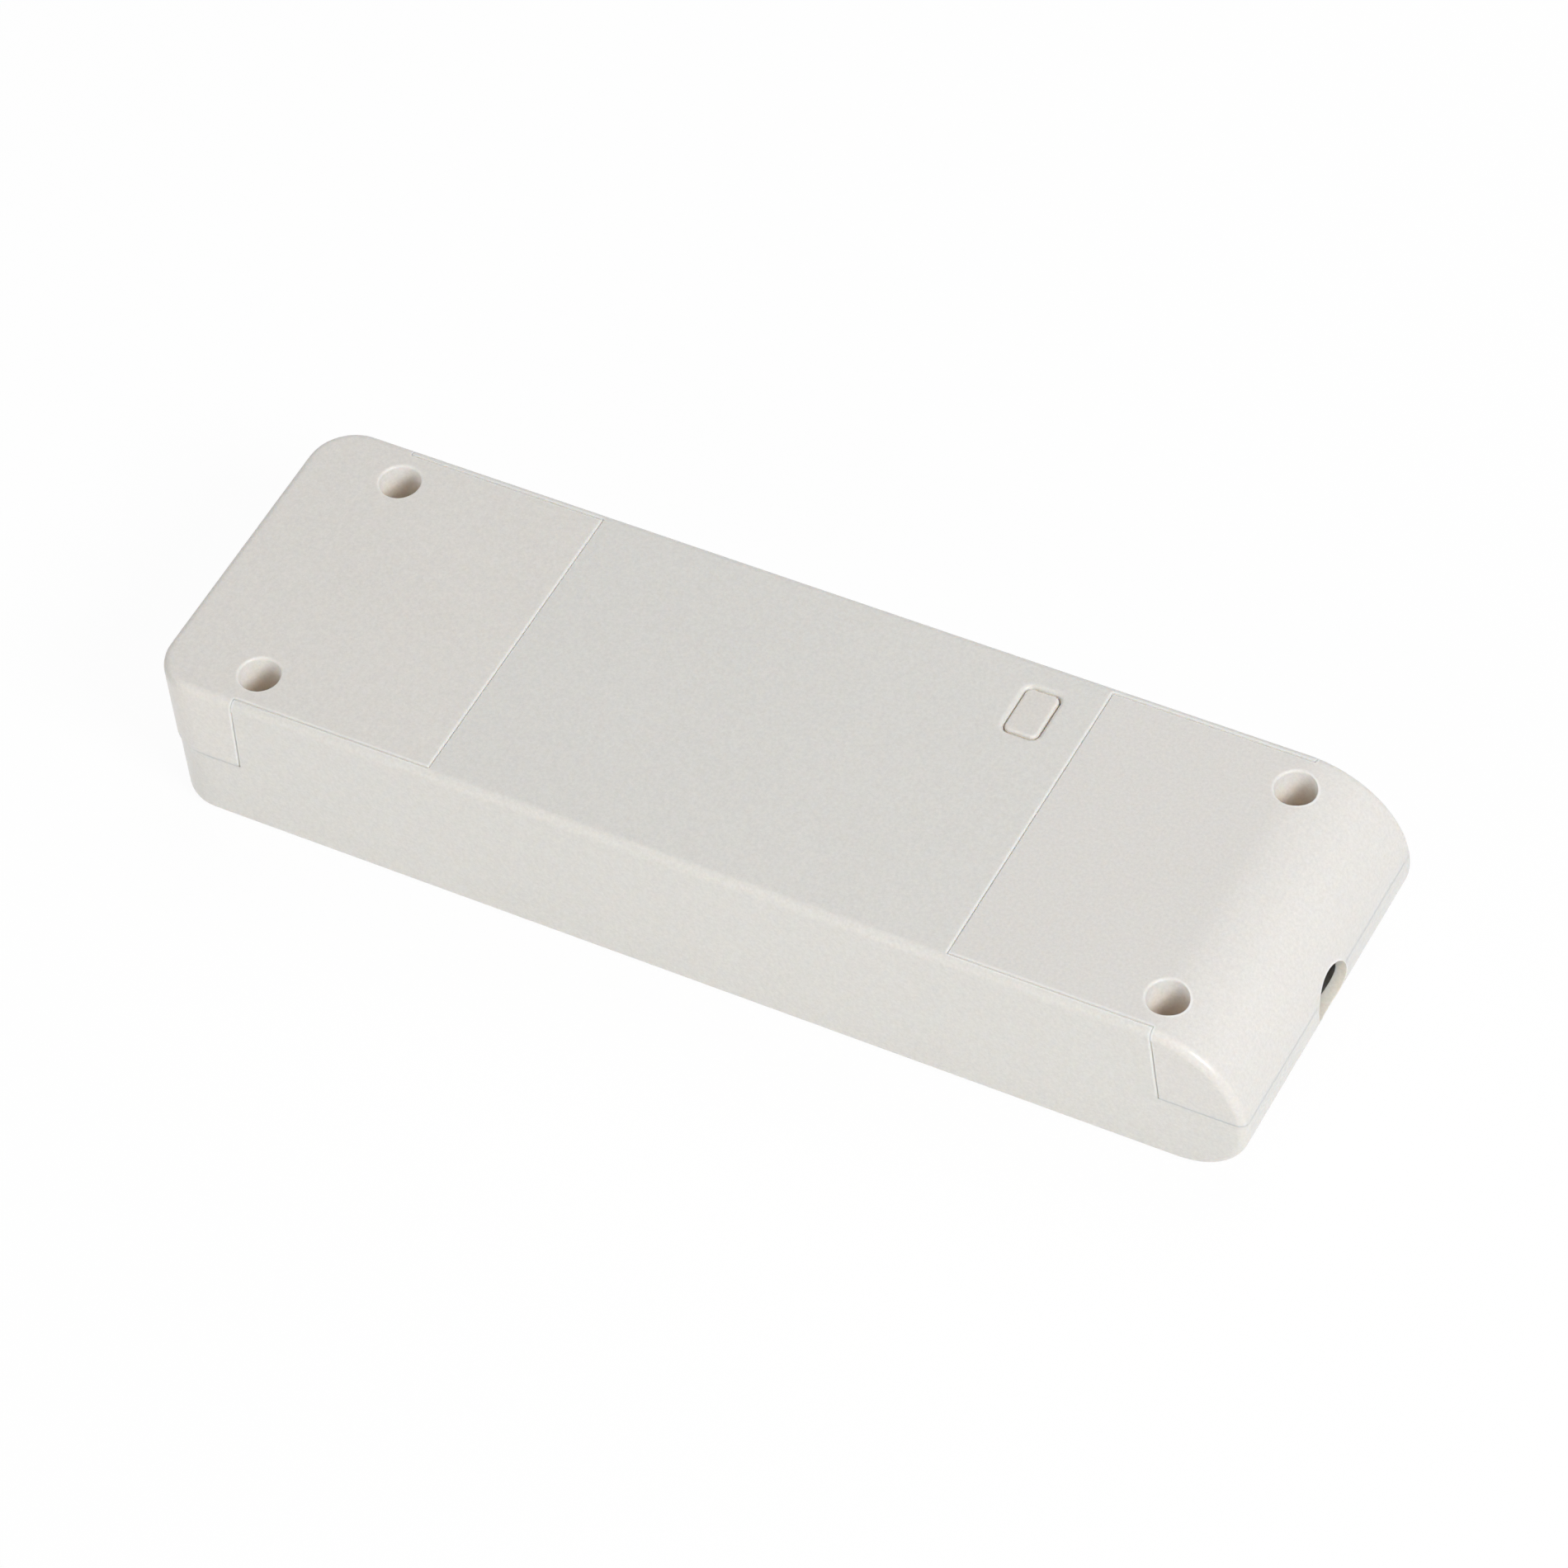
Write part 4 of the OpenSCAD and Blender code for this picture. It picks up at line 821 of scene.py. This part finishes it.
class DRIVER_OT_mains_parts(DriverStep, Operator):
    """Finish the parts on the mains side"""

    bl_idname = "driver.mains_parts"
    bl_label = "Mains side"

    def execute(self, context):
        inside = context.scene.driver_inside
        cap_length = 3.2 * MM
        low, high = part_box("fuse")
        tube = glazed_tube(
            "fuse_tube", slot_colour("fuse"), (low + high) / 2,
            (high.y - low.y) / 2 - cap_length, RECORD_COLOURS["tin_can"],
        )
        dress(["fuse"], tube)
        for node in ("varistor", "thermistor"):
            dress([node], dipped_coat(node, slot_colour(node)))
        box = inner_plastic(
            "x_capacitor", slot_colour("x_capacitor"), roughness=0.32, grain_size=0.7,
        )
        dress(["x_capacitor"], box)
        low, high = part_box("choke_core")
        copper = slot_colour("choke_winding")
        dress(["choke_winding"], wound_wire("choke_wire", copper, (low + high) / 2, inside.turns))
        return {"FINISHED"}


class DRIVER_OT_power_parts(DriverStep, Operator):
    """Finish the parts of the power stage"""

    bl_idname = "driver.power_parts"
    bl_label = "Power stage"

    def execute(self, context):
        stripe = list(context.scene.driver_inside.stripe)
        metal = RECORD_COLOURS["aluminium"]
        low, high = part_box("bulk_capacitor")
        size = high - low
        lying = "XYZ"[max(range(3), key=lambda i: size[i])]
        for node, axis in (("bulk_capacitor", lying), ("output_capacitors", "Z")):
            dress([node], shrink_sleeve(node, slot_colour(node), stripe, metal, axis))
        dress(["choke_core", "transformer_core"], sintered("ferrite", slot_colour("choke_core")))
        tape = wound_tape("winding_tape", slot_colour("transformer_winding"))
        dress(["transformer_winding"], tape)
        fins = plated_metal("extruded_aluminium", metal, roughness=0.36, brush=(1.0, 1.0, 0.05))
        dress(["switch_heatsink", "output_heatsink"], fins)
        return {"FINISHED"}


class DRIVER_OT_small_parts(DriverStep, Operator):
    """Finish the chips, transistors, safety capacitor and switch"""

    bl_idname = "driver.small_parts"
    bl_label = "Small parts"

    def execute(self, context):
        black = "black_epoxy"
        epoxy = inner_plastic(black, RECORD_COLOURS[black], roughness=0.5, grain_size=0.25)
        dress([node for node, slot in SLOT_OF_NODE.items() if slot == black], epoxy)
        dress(["y_capacitor"], dipped_coat("y_capacitor", slot_colour("y_capacitor")))
        switch = inner_plastic("tact_switch", slot_colour("tact_switch"), grain_size=0.3)
        dress(["tact_switch"], switch)
        return {"FINISHED"}


class DRIVER_OT_stage(DriverStep, Operator):
    """Set the camera, the floor and the lights"""

    bl_idname = "driver.stage"
    bl_label = "Stage"

    def execute(self, context):
        stage = context.scene.driver_stage
        self.camera(context, stage)
        self.floor(context, stage)
        self.world(context, stage)
        self.softbox(context, "key_light", stage.key_aim, stage.key_size, stage.key_power)
        fill = self.softbox(
            context, "fill_light", stage.fill_aim, stage.fill_size, stage.fill_power,
        )
        fill.data.color = stage.fill_colour
        top = self.softbox(context, "top_light", stage.top_aim, stage.top_size, stage.top_power)
        # The roof would mirror these two at low angles, and clip to white.
        fill.visible_glossy = False
        top.visible_glossy = False
        for name, aim in (("end_spark", stage.end_spark_aim), ("side_spark", stage.side_spark_aim)):
            self.softbox(context, name, aim, stage.spark_size, stage.spark_power)
        context.scene.view_settings.view_transform = "Standard"
        return {"FINISHED"}

    def camera(self, context, stage):
        """Sets the camera where the photograph was taken from."""
        data = bpy.data.cameras.new("camera")
        data.sensor_width = stage.sensor
        data.lens = stage.lens
        data.clip_start = 0.01
        data.clip_end = 50.0
        camera = bpy.data.objects.new("camera", data)
        right = Vector(stage.right).normalized()
        up = -Vector(stage.down).normalized()
        turn = Matrix((right, up, right.cross(up))).transposed().to_4x4()
        camera.matrix_world = Matrix.Translation(stage.eye) @ turn
        context.scene.collection.objects.link(camera)
        context.scene.camera = camera

    def floor(self, context, stage):
        """Lays the floor, which is plain white where it is seen and keeps the shadow."""
        cloud_size = 60.0
        half = stage.floor_size / 2
        corners = [(-half, -half, 0.0), (half, -half, 0.0), (half, half, 0.0), (-half, half, 0.0)]
        mesh = bpy.data.meshes.new("floor")
        mesh.from_pydata(corners, [], [(0, 1, 2, 3)])
        floor = bpy.data.objects.new("floor", mesh)
        context.scene.collection.objects.link(floor)
        f = Finish("floor_paint")
        cloud = f.noise(f.point(), cloud_size)
        f.surface(f.tone(stage.floor_colour, 0.99 + cloud * 0.02), 0.7 + cloud * 0.1)
        white = f.node("ShaderNodeEmission", {}, {"Color": WHITE, "Strength": 1.0})
        share = self.seen(f) * stage.floor_lift
        paint = Wire(f, f.shader.outputs[0])
        both = f.node("ShaderNodeMixShader", {}, {0: share, 1: paint, 2: white})
        f.feed(next(n for n in f.tree.nodes if n.type == "OUTPUT_MATERIAL"), {"Surface": both})
        mesh.materials.append(f.material)

    def world(self, context, stage):
        """Sets the even light all round, which is plain white where it is seen."""
        world = context.scene.world or bpy.data.worlds.new("studio")
        context.scene.world = world
        world.use_nodes = True
        f = Finish("studio", world.node_tree)
        f.tree.nodes.clear()
        dim = {"Color": WHITE, "Strength": stage.ambient}
        even = f.node("ShaderNodeBackground", {}, dim)
        white = f.node("ShaderNodeBackground", {}, {"Color": WHITE, "Strength": 1.0})
        both = f.node("ShaderNodeMixShader", {}, {0: self.seen(f), 1: even, 2: white})
        f.node("ShaderNodeOutputWorld", {}, {"Surface": both})

    def seen(self, f):
        """1 for rays that show the surroundings: camera, glossy and transmission rays."""
        kinds = ("Is Camera Ray", "Is Glossy Ray", "Is Transmission Ray")
        first, second, third = (f.node("ShaderNodeLightPath", output=kind) for kind in kinds)
        return f.most(f.most(first, second), third)

    def softbox(self, context, name, aim, size, power):
        """Hangs a rectangular light that faces the driver, and returns it."""
        turn, height = (math.radians(a) for a in aim)
        level = math.cos(height)
        ray = Vector((math.cos(turn) * level, math.sin(turn) * level, math.sin(height)))
        place = ray * context.scene.driver_stage.light_reach
        data = bpy.data.lights.new(name, "AREA")
        data.shape = "RECTANGLE"
        data.size, data.size_y = size
        data.energy = power
        lamp = bpy.data.objects.new(name, data)
        lamp.location = place
        lamp.rotation_mode = "QUATERNION"
        lamp.rotation_quaternion = (-place).to_track_quat("-Z", "Y")
        context.scene.collection.objects.link(lamp)
        return lamp


OPERATORS = (
    DRIVER_OT_stage,
    DRIVER_OT_housing,
    DRIVER_OT_base,
    DRIVER_OT_covers,
    DRIVER_OT_button,
    DRIVER_OT_clamps,
    DRIVER_OT_boards,
    DRIVER_OT_terminals,
    DRIVER_OT_mains_parts,
    DRIVER_OT_power_parts,
    DRIVER_OT_small_parts,
)


class DRIVER_PT_panel(Panel):
    """Lists the driver's operators and what can be changed"""

    bl_idname = "DRIVER_PT_panel"
    bl_label = "LED driver"
    bl_space_type = "VIEW_3D"
    bl_region_type = "UI"
    bl_category = "Driver"

    def draw(self, context):
        for operator in OPERATORS:
            self.layout.operator(operator.bl_idname)
        for place in GROUPS:
            group = getattr(context.scene, place)
            box = self.layout.box()
            for name in group.__annotations__:
                box.prop(group, name)


GROUPS = {"driver_case": CaseFinish, "driver_inside": InsideFinish, "driver_stage": StageSetup}
CLASSES = (*GROUPS.values(), *OPERATORS, DRIVER_PT_panel)


def register():
    for cls in CLASSES:
        bpy.utils.register_class(cls)
    for name, group in GROUPS.items():
        setattr(bpy.types.Scene, name, PointerProperty(type=group))


def unregister():
    for name in GROUPS:
        delattr(bpy.types.Scene, name)
    for cls in reversed(CLASSES):
        bpy.utils.unregister_class(cls)


def main():
    register()
    for operator in OPERATORS:
        group, name = operator.bl_idname.split(".")
        getattr(getattr(bpy.ops, group), name)()


if __name__ == "__main__":
    main()
